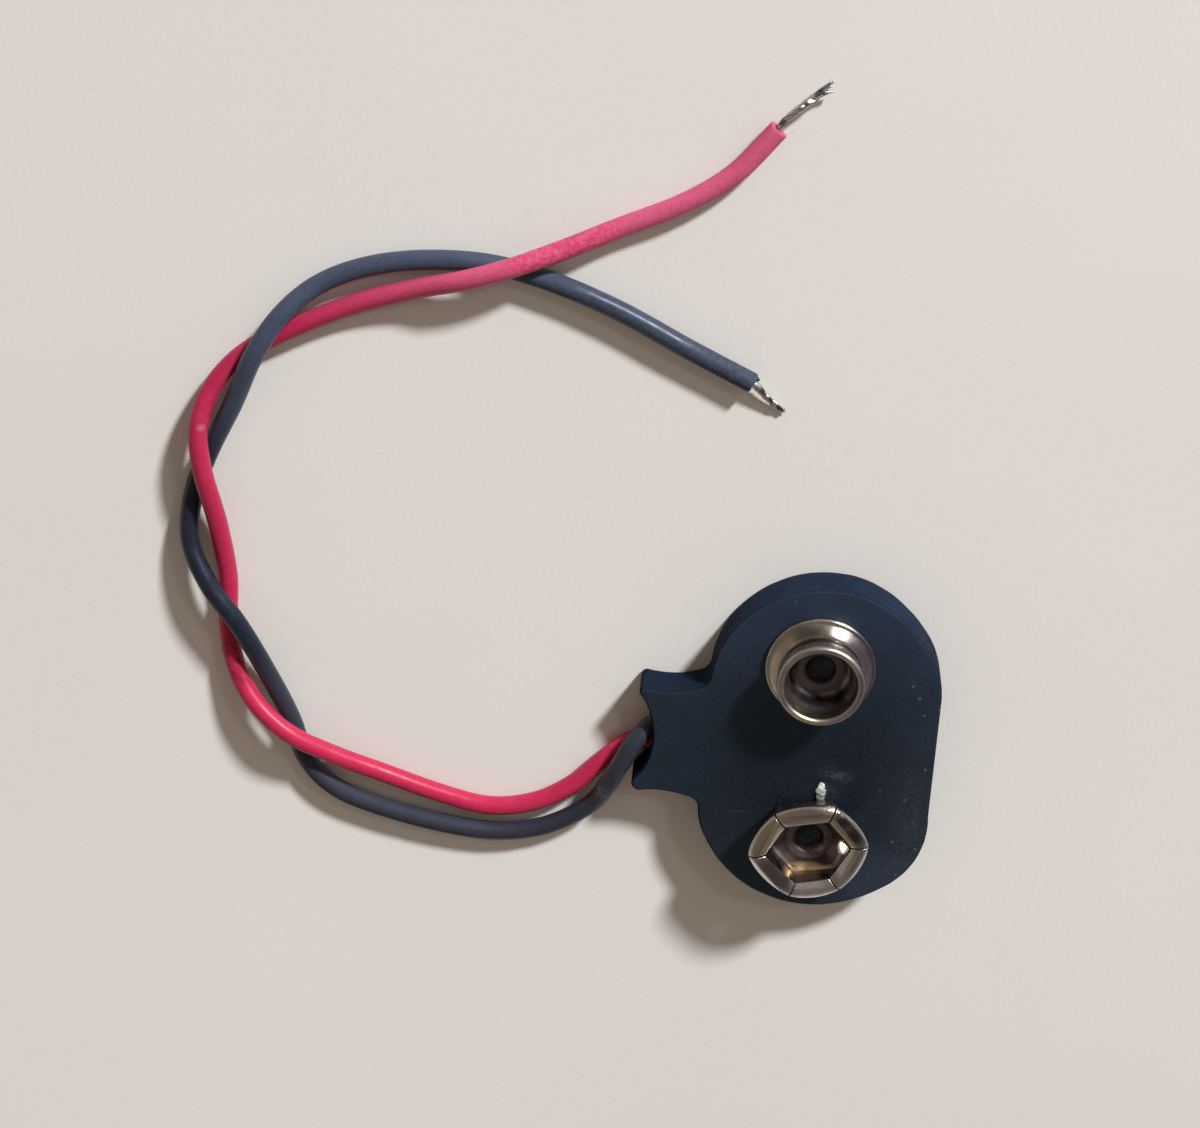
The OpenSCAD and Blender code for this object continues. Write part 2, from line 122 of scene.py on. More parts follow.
# Steps of the fine line that is measured along a route
FINE = 4000


# Geometry helpers
def on_route(route, t):
    """The point at t on the smooth curve through a route, with one unit of t from point to point."""
    last = len(route) - 1
    i = min(int(t), last - 1)
    f = t - i
    a, b, c, d = (Vector(route[min(max(j, 0), last)]) for j in range(i - 1, i + 3))
    return 0.5 * (2 * b + (c - a) * f + (2 * a - 5 * b + 4 * c - d) * f * f
                  + (3 * b - a - 3 * c + d) * f * f * f)


def sampled(route, count):
    """Points along the smooth curve through a route, at even distances."""
    last = len(route) - 1
    fine = [on_route(route, last * i / FINE) for i in range(FINE + 1)]
    run = [0.0]
    for a, b in zip(fine, fine[1:]):
        run.append(run[-1] + (b - a).length)
    points, j = [], 0
    for i in range(count):
        want = run[-1] * i / (count - 1)
        while j < FINE - 1 and run[j + 1] < want:
            j += 1
        f = (want - run[j]) / max(run[j + 1] - run[j], 1e-9)
        points.append(fine[j].lerp(fine[j + 1], min(max(f, 0), 1)))
    return points


def frames(points):
    """Directions along, left and up at each point of a line that mostly lies flat."""
    out = []
    for i in range(len(points)):
        ahead = (points[min(i + 1, len(points) - 1)] - points[max(i - 1, 0)]).normalized()
        left = Vector((0, 0, 1)).cross(ahead).normalized()
        out.append((ahead, left, ahead.cross(left)))
    return out


def full_turn(count, shift=0.0):
    """Angles at even steps round a full turn."""
    return [2 * math.pi * (i + shift) / count for i in range(count)]


def round_ring(centre, left, up, radius, count):
    """Corners of a round ring that lies in the directions left and up."""
    return [centre + (left * math.cos(a) + up * math.sin(a)) * radius for a in full_turn(count)]


def ring_faces(a, b, count):
    """Faces between two closed rings of corners that start at a and b."""
    return [(a + i, a + (i + 1) % count, b + (i + 1) % count, b + i) for i in range(count)]


def tube(rings, looped=False):
    """Corners and faces of a tube through rings of equal length, open at its ends or looped."""
    count = len(rings[0])
    starts = [k * count for k in range(len(rings))]
    ends = starts[1:] + (starts[:1] if looped else [])
    faces = [face for a, b in zip(starts, ends) for face in ring_faces(a, b, count)]
    return [corner for ring in rings for corner in ring], faces


def capped(rings):
    """Corners and faces of a tube that is closed by a flat face at both ends."""
    corners, walls = tube(rings)
    count = len(rings[0])
    ends = [tuple(reversed(range(count))), tuple(range(len(corners) - count, len(corners)))]
    return corners, ends + walls


def smooth(mesh, sharp):
    """Shades a mesh smooth, and keeps edges that bend by more than an angle in degrees."""
    for polygon in mesh.polygons:
        polygon.use_smooth = True
    if sharp:
        mesh.set_sharp_from_angle(angle=math.radians(sharp))


def shown(mesh, bm, sharp):
    """Fills a mesh from a bmesh with its faces turned outward, and puts it into the scene."""
    bmesh.ops.recalc_face_normals(bm, faces=bm.faces)
    bm.to_mesh(mesh)
    bm.free()
    smooth(mesh, sharp)
    ob = bpy.data.objects.new(mesh.name, mesh)
    scene.collection.objects.link(ob)
    return ob


def new_object(name, corners, faces, sharp=None):
    mesh = bpy.data.meshes.new(name)
    mesh.from_pydata([tuple(Vector(corner) * MM) for corner in corners], [], faces)
    bm = bmesh.new()
    bm.from_mesh(mesh)
    return shown(mesh, bm, sharp)


def joined(name, parts, sharp):
    """One object of several parts, each given as corners and faces."""
    corners, faces = [], []
    for part_corners, part_faces in parts:
        start = len(corners)
        corners += part_corners
        faces += [tuple(i + start for i in face) for face in part_faces]
    return new_object(name, corners, faces, sharp)


def facet(place, toward, length, width, thick):
    """A polished spot on metal, turned so that it throws back the light."""
    across = GLINT.cross(Vector(toward)).normalized()
    along = across.cross(GLINT).normalized()
    steps, rings = 12, []
    for j in range(1, steps):
        a = math.pi * j / steps
        centre = Vector(place) + along * (length * math.cos(a))
        rings.append(round_ring(centre, across * width, GLINT * thick, math.sin(a), 24))
    return capped(rings)


def stand_in(ob, node):
    """Shows an object of the body in place of a CAD node."""
    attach(ob, "root")
    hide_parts(node)


# Leads, first of all
def ragged(a, seed, nub):
    """How far the cut end of a lead stands out at an angle, with a nub given as angle, height and width."""
    at, height, width = nub
    rag = 0.10 * noise.noise(Vector((math.cos(a) * 1.7, math.sin(a) * 1.7, seed * 3.1)))
    rag += 0.05 * noise.noise(Vector((math.cos(a) * 5, math.sin(a) * 5, seed * 7.7)))
    gap = (a - at + math.pi) % (2 * math.pi) - math.pi
    return rag + height * math.exp(-(gap / width) ** 2)


def lead(name, route, nub, seed):
    """A lead's insulation, flat at its inner end, with its far end cut off by hand and the bore in it."""
    radius, rings = LEAD_D / 2, []
    path = sampled(route, LEAD_RINGS)
    dirs = frames(path)
    for p, (_, left, up) in zip(path, dirs):
        ring = []
        for a in full_turn(LEAD_SIDES, 0.5):
            out = left * math.cos(a) + up * math.sin(a)
            swell = 0.012 * noise.noise(p * 0.22 + Vector((seed, 0, 0)))
            swell += 0.006 * noise.noise((p + out * radius) * 1.3)
            ring.append(p + out * (radius + swell - 0.006))
        rings.append(ring)
    ahead, left, up = dirs[-1]
    for share, step in CUT_END:
        ring = []
        for a in full_turn(LEAD_SIDES, 0.5):
            out = left * math.cos(a) + up * math.sin(a)
            rag = 0 if (share, step) == CUT_END[-1] else ragged(a, seed, nub)
            ring.append(path[-1] + out * radius * share + ahead * (step + rag))
        rings.append(ring)
    return new_object(name, *capped(rings), sharp=50), [tuple(p * MM) for p in path]


def strand(points, radius, sides=8):
    """A thin round wire along points, narrower at its tip."""
    dirs = frames(points)
    rings = [round_ring(p, left, up, radius, sides) for p, (_, left, up) in zip(points, dirs)]
    ahead, left, up = dirs[-1]
    rings.append(round_ring(points[-1] + ahead * radius * 0.5, left, up, radius * 0.7, sides))
    return capped(rings)


def solder_run(axis, turns, seed, tinned):
    """Solder that has run over part of a bundle and shows the strands under it."""
    first, last, radius = tinned
    rings = []
    for k, (p, (_, left, up)) in enumerate(zip(axis, frames(axis))):
        if not first <= k / CORE_STEPS <= last:
            continue
        f = (k / CORE_STEPS - first) / (last - first)
        body = radius * (0.62 + 0.38 * math.sin(math.pi * f) ** 0.6)
        ring = []
        for a in full_turn(20):
            flute = 1 + 0.07 * math.cos(6 * a - 2 * math.pi * turns * k / CORE_STEPS * 6)
            lump = 1 + 0.10 * noise.noise(Vector((f * 3, math.cos(a), math.sin(a) + seed)))
            ring.append(p + (left * math.cos(a) + up * math.sin(a)) * body * flute * lump)
        rings.append(ring)
    return capped(rings)


def bundle(name, core, turns, seed, tips, part_at, tinned, shine):
    """Bare strands twisted round a middle one, which part towards their tips, with solder over them."""
    draws = random.Random(seed)
    axis = sampled(core, CORE_STEPS + 1)
    dirs = frames(axis)
    parts = []
    for s in range(STRANDS):
        start = 2 * math.pi * s / (STRANDS - 1)
        lay = 0.0 if s == STRANDS - 1 else STRAND_R * 2.02
        steps = CORE_STEPS - draws.randint(0, 2)
        tip = Vector(tips[s % len(tips)]) - axis[-1]
        points = []
        for k in range(steps + 1):
            f = k / CORE_STEPS
            _, left, up = dirs[k]
            a = start + 2 * math.pi * turns * f
            loose = 1 + 0.16 * noise.noise(Vector((f * 5, s * 3.3, seed)))
            tail = max(0.0, (f - part_at) / (1 - part_at))
            out = (left * math.cos(a) + up * math.sin(a)) * lay * loose * (1 - 0.4 * tail)
            p = axis[k] + out + tip * tail ** 1.4
            p.z = max(p.z, STRAND_R + 0.01)
            points.append(p)
        parts.append(strand(points, STRAND_R * draws.uniform(0.94, 1.04)))
    parts.append(solder_run(axis, turns, seed, tinned))
    parts += [facet(*spot) for spot in shine]
    return joined(name, parts, sharp=60)


red, red_path = lead("red_insulation", RED_ROUTE, nub=(5.3, 0.08, 0.5), seed=3)
black, black_path = lead("black_insulation", BLACK_ROUTE, nub=(0.55, 0.3, 0.2), seed=8)
red_core = bundle("red_strands", RED_CORE, turns=1.5, seed=5, part_at=0.8, tinned=(0.36, 0.84, 0.25),
                  tips=[(-1.56, 44.48, 0.6), (-1.57, 43.92, 0.55)],
                  shine=[((-2.76, 43.38, 0.86), (0.52, 0.4, 0), 0.4, 0.21, 0.07),
                         ((-3.25, 43.03, 0.93), (0.52, 0.42, 0), 0.24, 0.1, 0.05)])
black_core = bundle("black_strands", BLACK_CORE, turns=1.7, seed=11, part_at=0.5, tinned=(0.1, 0.5, 0.26),
                    tips=[(-3.28, 23.02, 0.2), (-3.5, 23.08, 0.14)],
                    shine=[((-4.44, 24.23, 0.72), (0.5, -0.5, 0), 0.12, 0.09, 0.04)])
stand_in(red, "red_lead")
stand_in(black, "black_lead")
stand_in(red_core, "red_bare_end")
stand_in(black_core, "black_bare_end")


# Outline of the body, worked out as in part.scad
def bearing(a, b):
    return math.atan2(b[1] - a[1], b[0] - a[0])


def meet(c1, r1, c2, r2):
    """Where two circles cross, on the left of the way from the first to the second."""
    d = math.dist(c1, c2)
    along = (r1 * r1 - r2 * r2 + d * d) / (2 * d)
    across = math.sqrt(r1 * r1 - along * along)
    u = ((c2[0] - c1[0]) / d, (c2[1] - c1[1]) / d)
    return (c1[0] + along * u[0] - across * u[1], c1[1] + along * u[1] + across * u[0])


END_R = BODY_WIDTH / 2
END_C = (BODY_SHIFT, BODY_LENGTH / 2 - END_R)
SIDE_C = (SETBACK - TAB_REACH, WAIST / 2 + SIDE_R)
HOLLOW_R = ((TIP_WIDTH / 2) ** 2 + HOLLOW ** 2) / (2 * HOLLOW)
HOLLOW_C = (HOLLOW - TAB_REACH - HOLLOW_R, 0.0)
CORNER_C = meet(END_C, END_R + INNER_R, SIDE_C, SIDE_R - INNER_R)
TIP_C = meet(SIDE_C, SIDE_R + TIP_R, HOLLOW_C, HOLLOW_R + TIP_R)


def arc(centre, radius, start, end, steps):
    angles = [start + (end - start) * i / steps for i in range(steps + 1)]
    return [(centre[0] + radius * math.cos(a), centre[1] + radius * math.sin(a)) for a in angles]


def degree_arc(centre, radius, start, end, steps):
    return arc(centre, radius, math.radians(start), math.radians(end), steps)


def turned(points):
    """Points turned with the body, which stands a little askew to the line of the contacts."""
    c, s = math.cos(BODY_TURN), math.sin(BODY_TURN)
    return [(x * c - y * s, x * s + y * c) for x, y in points]


def outline(inset):
    """The outline moved inward by inset, always with the same number of corners."""
    to_corner = bearing(END_C, CORNER_C)
    side_corner = bearing(SIDE_C, CORNER_C)
    side_tip = bearing(SIDE_C, TIP_C)
    tip_hollow = 2 * math.pi + bearing(TIP_C, HOLLOW_C)
    half = arc(END_C, END_R - inset, 0, to_corner, 60)
    half += arc(CORNER_C, INNER_R + inset, to_corner - math.pi, side_corner, 12)[1:]
    half += arc(SIDE_C, SIDE_R + inset, side_corner, side_tip, 12)[1:]
    half += arc(TIP_C, max(TIP_R - inset, 0.02), side_tip + math.pi, tip_hollow, 12)[1:]
    half += arc(HOLLOW_C, HOLLOW_R + inset, tip_hollow - math.pi, 0, 16)[1:]
    return turned(half + [(x, -y) for x, y in reversed(half[1:-1])] + [(half[0][0], -half[0][1])])


# Where the cut edge strays from the drawn outline: place, distance outward and width of the stray
STRAYS = [((7.2, -8.6), 0.34, 3.2), ((5.6, 9.4), -0.26, 3.0), ((-9.2, -4.1), 0.16, 2.2),
          ((-7.0, -6.0), 0.14, 1.6), ((-12.0, -3.6), 0.14, 1.2), ((-9.4, 4.2), -0.08, 2.0)]
WAVE, WAVE_SEED = 0.035, 4.0
BODY_SHARP, EDGE_STEPS, HOLE_STEPS = 35, 6, 64
# Insets that put the rim of a flat face a little inside its edge
FACE_INSET, LOWER_FACE_INSET = 0.36, 0.34


def wavy(ring, z):
    """The outline at a height as it was cut: a little uneven, with its strays."""
    out = []
    for i, (x, y) in enumerate(ring):
        push = WAVE * noise.noise(Vector((x * 0.55, y * 0.55, WAVE_SEED)))
        push += WAVE * 0.45 * noise.noise(Vector((x * 2.1, y * 2.1, WAVE_SEED + 9)))
        for (near_x, near_y), reach, width in STRAYS:
            push += reach * math.exp(-((x - near_x) ** 2 + (y - near_y) ** 2) / width ** 2)
        (ax, ay), (bx, by) = ring[i - 1], ring[(i + 1) % len(ring)]
        outward = Vector((by - ay, ax - bx, 0)).normalized()
        out.append(Vector((x + outward.x * push, y + outward.y * push, z)))
    return out


def stacked(name, levels, holes=()):
    """A solid between stacked outlines, given as inset and height, with round holes through it."""
    bm = bmesh.new()
    rows = [[bm.verts.new(v * MM) for v in wavy(outline(inset), z)] for inset, z in levels]
    walls = list(zip(rows, rows[1:]))
    low_loops, high_loops = [rows[0]], [rows[-1]]
    for x, y, radius in holes:
        low = [bm.verts.new(Vector((x + radius * math.cos(a), y + radius * math.sin(a), levels[0][1])) * MM)
               for a in full_turn(HOLE_STEPS)]
        high = [bm.verts.new(Vector((v.co.x, v.co.y, levels[-1][1] * MM))) for v in low]
        walls.append((high, low))
        low_loops.append(low)
        high_loops.append(high)
    for a, b in walls:
        for i, after in enumerate(a[1:] + a[:1]):
            bm.faces.new((a[i], after, b[(i + 1) % len(b)], b[i]))
    for loops in (low_loops, high_loops):
        edges = [bm.edges.get(pair) for loop in loops for pair in zip(loop, loop[1:] + loop[:1])]
        bmesh.ops.triangle_fill(bm, use_beauty=True, use_dissolve=False, edges=edges)
    return shown(bpy.data.meshes.new(name), bm, BODY_SHARP)


def rounded_edge(radius):
    """Insets of a rounded edge, with their distances from its face, from the wall to the face."""
    angles = [math.pi / 2 * i / EDGE_STEPS for i in range(EDGE_STEPS + 1)]
    return [(radius * (1 - math.cos(a)), radius * (1 - math.sin(a))) for a in angles]


def front_plate():
    """The stiff sheet, with a fine groove where it meets the cover and a hole for each eyelet."""
    levels = [(LOWER_FACE_INSET, COVER_TOP), (0.04, COVER_TOP), (0.012, COVER_TOP + 0.02),
              (0.0, COVER_TOP + 0.05), (0.0, FRONT_TOP - TOP_EDGE - 0.1)]
    levels += [(inset, FRONT_TOP - depth) for inset, depth in rounded_edge(TOP_EDGE)]
    levels += [(FACE_INSET, FRONT_TOP)]
    radius = EYELET_D / 2 + EYELET_PLAY
    return stacked("front_plate", levels, [(0, contact.y, radius) for contact in (STUD, SOCKET)])


def prism(name, points, low, high):
    return new_object(name, *capped([[(x, y, z) for x, y in points] for z in (low, high)]))


def carve(ob, tool):
    """Cuts a tool out of an object and removes the tool."""
    cut = ob.modifiers.new("cut", "BOOLEAN")
    cut.operation = "DIFFERENCE"
    cut.solver = "EXACT"
    cut.object = tool
    bpy.context.view_layer.update()
    graph = bpy.context.evaluated_depsgraph_get()
    carved = bpy.data.meshes.new_from_object(ob.evaluated_get(graph))
    before = ob.data
    ob.modifiers.clear()
    ob.data = carved
    bpy.data.meshes.remove(before)
    bpy.data.objects.remove(tool)
    smooth(carved, BODY_SHARP)


def cover_pan():
    """The soft cover, with a room for the solder joints, a funnel for the leads and a mouth in the tab."""
    levels = [(FACE_INSET, 0.0)] + list(reversed(rounded_edge(EDGE)))
    levels += [(0.0, COVER_TOP - 0.06), (0.012, COVER_TOP - 0.02), (0.04, COVER_TOP), (FACE_INSET, COVER_TOP)]
    cover = stacked("cover_pan", levels)
    open_top = COVER_TOP + 1
    room_r = END_R - RIM
    room_edge = BODY_SHIFT - room_r
    room = arc(END_C, room_r, 0, math.pi, 32)
    room += arc((END_C[0], -END_C[1]), room_r, math.pi, 2 * math.pi, 32)
    carve(cover, prism("room", turned(room), COVER_FLOOR, open_top))
    mouth_r = LEAD_D / 2 + MOUTH_PLAY
    mouth_low = (RED_ROUTE[2][1] + RED_ROUTE[3][1]) / 2
    mouth_high = (BLACK_ROUTE[2][1] + BLACK_ROUTE[3][1]) / 2
    mouth_z = (COVER_FLOOR + COVER_TOP) / 2
    neck_x, mouth_in, mouth_out = RED_ROUTE[2][0] - 1, RED_ROUTE[2][0] + 1, -TAB_REACH - 0.6
    low, high = FUNNEL_SIDES
    funnel = [(room_edge, low), (neck_x, mouth_low - mouth_r), (neck_x, mouth_high + mouth_r),
              (room_edge, high), (0, high), (0, low)]
    carve(cover, prism("funnel", funnel, COVER_FLOOR, open_top))
    mouth = degree_arc((mouth_high, mouth_z), mouth_r, -90, 90, 16)
    mouth += degree_arc((mouth_low, mouth_z), mouth_r, 90, 270, 16)
    passage = [[(x, y, z) for y, z in mouth] for x in (mouth_in, mouth_out)]
    carve(cover, new_object("passage", *capped(passage)))
    return cover


front = front_plate()
cover = cover_pan()
stand_in(front, "front_sheet")
stand_in(cover, "back_cover")


# Drawn contacts
def revolve(section, place, sides, wobble, seed):
    """A closed section of radius and height, turned about the axis of a contact and not quite round."""
    rings = []
    for a in full_turn(sides):
        w = 1 + wobble * noise.noise(Vector((math.cos(a) * 1.3, math.sin(a) * 1.3, seed)))
        rings.append([Vector((place.x + r * w * math.cos(a), place.y + r * w * math.sin(a), z))
                      for r, z in section])
    return tube(rings, looped=True)


# Radius and height on the slope from the stud's flange up to its neck
SLOPE = [(3.4, 0.437, 0), (3.33, 0.465, 0), (3.15, 0.6, 0), (2.95, 0.78, 0), (2.78, 0.945, 0),
         (2.69, 1.08, 0), (2.655, 1.22, 0), (NECK_R, 1.36, 0)]
# Radius and share of the stud's height: its neck up to the bead, and its inside from the bead to the bowl
NECK = [(NECK_R + 0.01, 0.5), (NECK_R + 0.05, 0.56), (BEAD_R - 0.05, 0.64), (BEAD_R - 0.01, 0.68),
        (BEAD_R, 0.72)]
BOWL_R = NECK_R - 2 * SHEET
BOWL = [(BOWL_OPEN_R, 0.76), (BOWL_OPEN_R - 0.03, 0.7), (BOWL_OPEN_R - 0.12, 0.6), (BOWL_R + 0.03, 0.52),
        (BOWL_R, 0.45)]


def stud_section():
    """The bent sheet of the stud: flange, slope, neck, bead, bowl and floor, then back underneath."""
    fold = (BEAD_R - BOWL_OPEN_R) / 2
    flange_c = (FLANGE_R - FLANGE_BEND, FLANGE_TOP - FLANGE_BEND)
    flange_end = -math.degrees(math.asin(flange_c[1] / FLANGE_BEND))
    bowl_c = (BOWL_R - BOWL_BEND, SHEET + BOWL_BEND)
    bowl_end = math.degrees(math.asin((FLANGE_TOP - SHEET - bowl_c[1]) / (BOWL_BEND + SHEET)))
    section = degree_arc((FLANGE_R - FLANGE_RIM, FLANGE_RIM), FLANGE_RIM, -90, 62, 18) + [(3.45, 0.428)]
    section += [(p.x, p.y) for p in sampled(SLOPE, 26)]
    section += [(r, STUD_TOP * share) for r, share in NECK]
    section += degree_arc((BEAD_R - fold, STUD_TOP - fold), fold, 0, 180, 20)
    section += [(r, STUD_TOP * share) for r, share in BOWL]
    section += degree_arc(bowl_c, BOWL_BEND, 0, -90, 14)
    section += [(FLOOR_HOLE, SHEET), (1.3, SHEET - 0.02), (1.28, SHEET - 0.06), (1.28, 0.0)]
    section += degree_arc(bowl_c, BOWL_BEND + SHEET, -90, bowl_end, 8)
    section += degree_arc(flange_c, FLANGE_BEND - SHEET, 90, flange_end, 6)
    return [(r, z + FRONT_TOP) for r, z in section]


def sideways(line):
    """Directions square to a line at each of its points."""
    out = []
    for i in range(len(line)):
        a, b = line[max(i - 1, 0)], line[min(i + 1, len(line) - 1)]
        d = math.dist(a, b)
        out.append(((a[1] - b[1]) / d, (b[0] - a[0]) / d))
    return out


# The socket is a six-sided bowl that leans out, slit at the corners into petals with their tops bent inward
FLAT = SOCKET_CORNERS / 2 * math.cos(math.radians(30)) - HALF_SHEET
LIP_WAY = (-math.sin(math.radians(LIP_TURN)), math.cos(math.radians(LIP_TURN)))
PETAL_COLUMNS = 12
# Distances that each corner of the socket is bent away from a true hexagon, from the one at 9 degrees on
CORNER_SHIFT = [(0.148, 0.104), (0.208, -0.089), (-0.04, -0.25), (-0.289, 0.022), (0.168, 0.044),
                (-0.195, 0.178)]
# The rounded cut of a petal's sheet: share of its depth and share of the rounding that is cut away
CUT = [(0.0, 1.0), (0.025, 0.5), (0.092, 0.134), (0.183, 0.0), (0.817, 0.0), (0.908, 0.134), (0.975, 0.5),
       (1.0, 1.0)]


def petal_line():
    """Radius and height along the middle of a petal's sheet, and the point where its slots begin."""
    line = [(FLOOR_HOLE, HALF_SHEET), (1.7, HALF_SHEET)]
    line += degree_arc((SOCKET_FLOOR / 2, HALF_SHEET + FLOOR_BEND), FLOOR_BEND, -90, -LEAN, 8)
    top = degree_arc((FLAT - LIP_BEND, SOCKET_TOP - HALF_SHEET - LIP_BEND), LIP_BEND, -LEAN, LIP_TURN, 14)
    (low_r, low_z), (high_r, high_z) = line[-1], top[0]
    line += [(low_r + (high_r - low_r) * t, low_z + (high_z - low_z) * t) for t in (0.08, 0.16, 0.4, 0.7)]
    slot_start = len(line) - 3
    r, z = top[-1]
    return line + top + [(r + LIP_WAY[0] * LIP * t, z + LIP_WAY[1] * LIP * t) for t in (0.5, 1.0)], slot_start


PETAL, SLOT_START = petal_line()


def petal_rows():
    """Rows of a petal: radius, height, direction through the sheet, half its thickness, and number."""
    rows = [(r, z, *across, HALF_SHEET, i) for i, ((r, z), across) in enumerate(zip(PETAL, sideways(PETAL)))]
    r, z, across_r, across_z, _, last = rows[-1]
    for angle in (30, 60, 90):
        a = math.radians(angle)
        out, thin = CUT_R * math.sin(a), CUT_R * (1 - math.cos(a))
        rows.append((r + LIP_WAY[0] * out, z + LIP_WAY[1] * out, across_r, across_z, HALF_SHEET - thin, last))
    return rows


def petal(k, draws):
    """One side of the socket from its floor to its lip, as rings round the section of the sheet."""
    turn = math.radians(SOCKET_TURN + 60 * k)
    tip, twist = draws.uniform(-0.015, 0.015), draws.uniform(-0.01, 0.01)
    outward = Vector((math.cos(turn), math.sin(turn), 0))
    along = Vector((-math.sin(turn), math.cos(turn), 0))
    low, high = Vector(CORNER_SHIFT[k]), Vector(CORNER_SHIFT[(k + 1) % 6])
    rings = []
    for r, z, across_r, across_z, half, row in petal_rows():
        free = row >= SLOT_START
        grow = max(0.0, (row - SLOT_START) / (len(PETAL) - 1 - SLOT_START))
        lift = min(max((z - 0.5) / 1.7, 0.0), 1.0)

        def at(depth, q, cut):
            """The point at a share of the depth, at q from -1 to 1 across the petal."""
            s = 1 - 2 * depth
            here = r + s * across_r * half
            width = here * math.tan(math.radians(30)) - (SLOT / 2 + cut * CUT_R if free else 0.0)
            outer = min(max((here - PETAL[-1][0]) / (FLAT + HALF_SHEET - PETAL[-1][0]), 0.0), 1.0)
            bow = -0.05 * q ** 4 * (0.6 if free else 1) + 0.3 * (1 - q * q) * lift * lift * outer
            bent = low.lerp(high, (1 + q) / 2) * lift
            side = outward * (here + bow + (tip + twist * q) * grow) + along * (width * q)
            return SOCKET + side + Vector((bent.x, bent.y, FRONT_TOP + z + s * across_z * half))

        ring = [at(depth, -1, cut) for depth, cut in CUT[3::-1]]
        ring += [at(0, 2 * j / PETAL_COLUMNS - 1, 1) for j in range(1, PETAL_COLUMNS)]
        ring += [at(depth, 1, cut) for depth, cut in CUT]
        ring += [at(1, 1 - 2 * j / PETAL_COLUMNS, 1) for j in range(1, PETAL_COLUMNS)]
        ring += [at(depth, -1, cut) for depth, cut in CUT[:3:-1]]
        rings.append(ring)
    corners, faces = tube(rings)
    count = len(rings[0])
    for base in (0, len(corners) - count):
        end = base + count
        faces += [(base + i, base + i + 1, end - 2 - i, end - 1 - i) for i in range(count // 2 - 1)]
    return corners, faces


def socket_petals():
    draws = random.Random(21)
    parts = [petal(k, draws) for k in range(6)]
    parts += [facet((2.24, -5.72, 5.3), (0.3, 1, 0), 0.62, 0.42, 0.09),
              facet((1.2, -2.98, 5.42), (1, 0.2, 0), 0.34, 0.16, 0.08),
              facet((1.76, -3.15, 5.4), (1, 0.2, 0), 0.2, 0.17, 0.08)]
    return joined("socket", parts, sharp=50)


def eyelet_section():
    """The wall of an eyelet, a tube rolled out at both ends."""
    half = EYELET_WALL / 2
    barrel = EYELET_D / 2 - half
    head, tail = FRONT_TOP + SHEET + half, COVER_TOP - SHEET - half
    line = [(EYELET_RIM, head), (EYELET_RIM - 0.1, head + 0.01)]
    line += degree_arc((barrel + EYELET_ROLL, head - EYELET_ROLL), EYELET_ROLL, 90, 180, 10)
    line += degree_arc((barrel + EYELET_ROLL, tail + EYELET_ROLL), EYELET_ROLL, 180, 270, 10)
    line += [(EYELET_RIM, tail)]
    sides = list(zip(line, sideways(line)))
    left = [(r + across[0] * half, z + across[1] * half) for (r, z), across in sides]
    right = [(r - across[0] * half, z - across[1] * half) for (r, z), across in sides]
    return left + right[::-1]


def eyelet(name, place, seed):
    return new_object(name, *revolve(eyelet_section(), place, sides=72, wobble=0.01, seed=seed), sharp=50)


# Radius and height of the solder in an eyelet, from the wall of its barrel to the middle
FILL = ((0.955, 2.35), (0.965, 2.82), (0.9, 2.74), (0.6, 2.62), (0.3, 2.57), (0.1, 2.56))


def barrel_fill(name, place):
    """Dull solder standing in the barrel of an eyelet, sunk in the middle."""
    rings = []
    for r, z in FILL:
        ring = []
        for a in full_turn(40):
            x, y = r * math.cos(a), r * math.sin(a)
            lump = 0.05 * noise.noise(Vector((x * 1.6, y * 1.6, place.y)))
            ring.append(place + Vector((x, y, z + lump)))
        rings.append(ring)
    return new_object(name, *capped(rings), sharp=60)


stud = new_object("stud", *revolve(stud_section(), STUD, sides=144, wobble=0.006, seed=1), sharp=50)
socket = socket_petals()
stud_eyelet = eyelet("stud_eyelet_ring", STUD, seed=2)
socket_eyelet = eyelet("socket_eyelet_ring", SOCKET, seed=6)
fills = [barrel_fill("stud_barrel_fill", STUD), barrel_fill("socket_barrel_fill", SOCKET)]
for ob in fills:
    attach(ob, "root")
stand_in(stud, "stud_contact")
stand_in(socket, "socket_contact")
stand_in(stud_eyelet, "stud_eyelet")
stand_in(socket_eyelet, "socket_eyelet")

# A sliver lifted beside the socket
SLIVER_STEPS = 33
SLIVER_LINE = [(0.58, -3.95, 3.03), (0.6, -3.7, 3.1), (0.58, -3.4, 3.14), (0.62, -3.1, 3.12),
               (0.56, -2.8, 3.16), (0.6, -2.5, 3.1), (0.68, -2.3, 3.02)]


def sliver():
    """A chip of the sheet that stands up beside the socket, in two lumps."""
    points = sampled(SLIVER_LINE, SLIVER_STEPS + 1)
    rings = []
    for k, (p, (_, left, up)) in enumerate(zip(points, frames(points))):
        f = k / SLIVER_STEPS
        waist = 1 - 0.32 * math.exp(-((f - 0.47) / 0.09) ** 2)
        body = math.sin(math.pi * (0.06 + 0.9 * f)) ** 0.55
        width = 0.33 * body * waist * (1 + 0.35 * noise.noise(Vector((f * 7, 3.3, 0))))
        height = 0.11 * body * (1 + 0.6 * noise.noise(Vector((f * 9, 8.1, 0))))
        ring = []
        for a in full_turn(16):
            rough = 1 + 0.5 * noise.noise(Vector((f * 11, math.cos(a) * 2.2, math.sin(a) * 2.2)))
            ring.append(p + left * width * math.cos(a) * rough + up * height * math.sin(a) * rough)
        rings.append(ring)
    return new_object("sliver", *capped(rings), sharp=60)


flake = sliver()
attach(flake, "root")


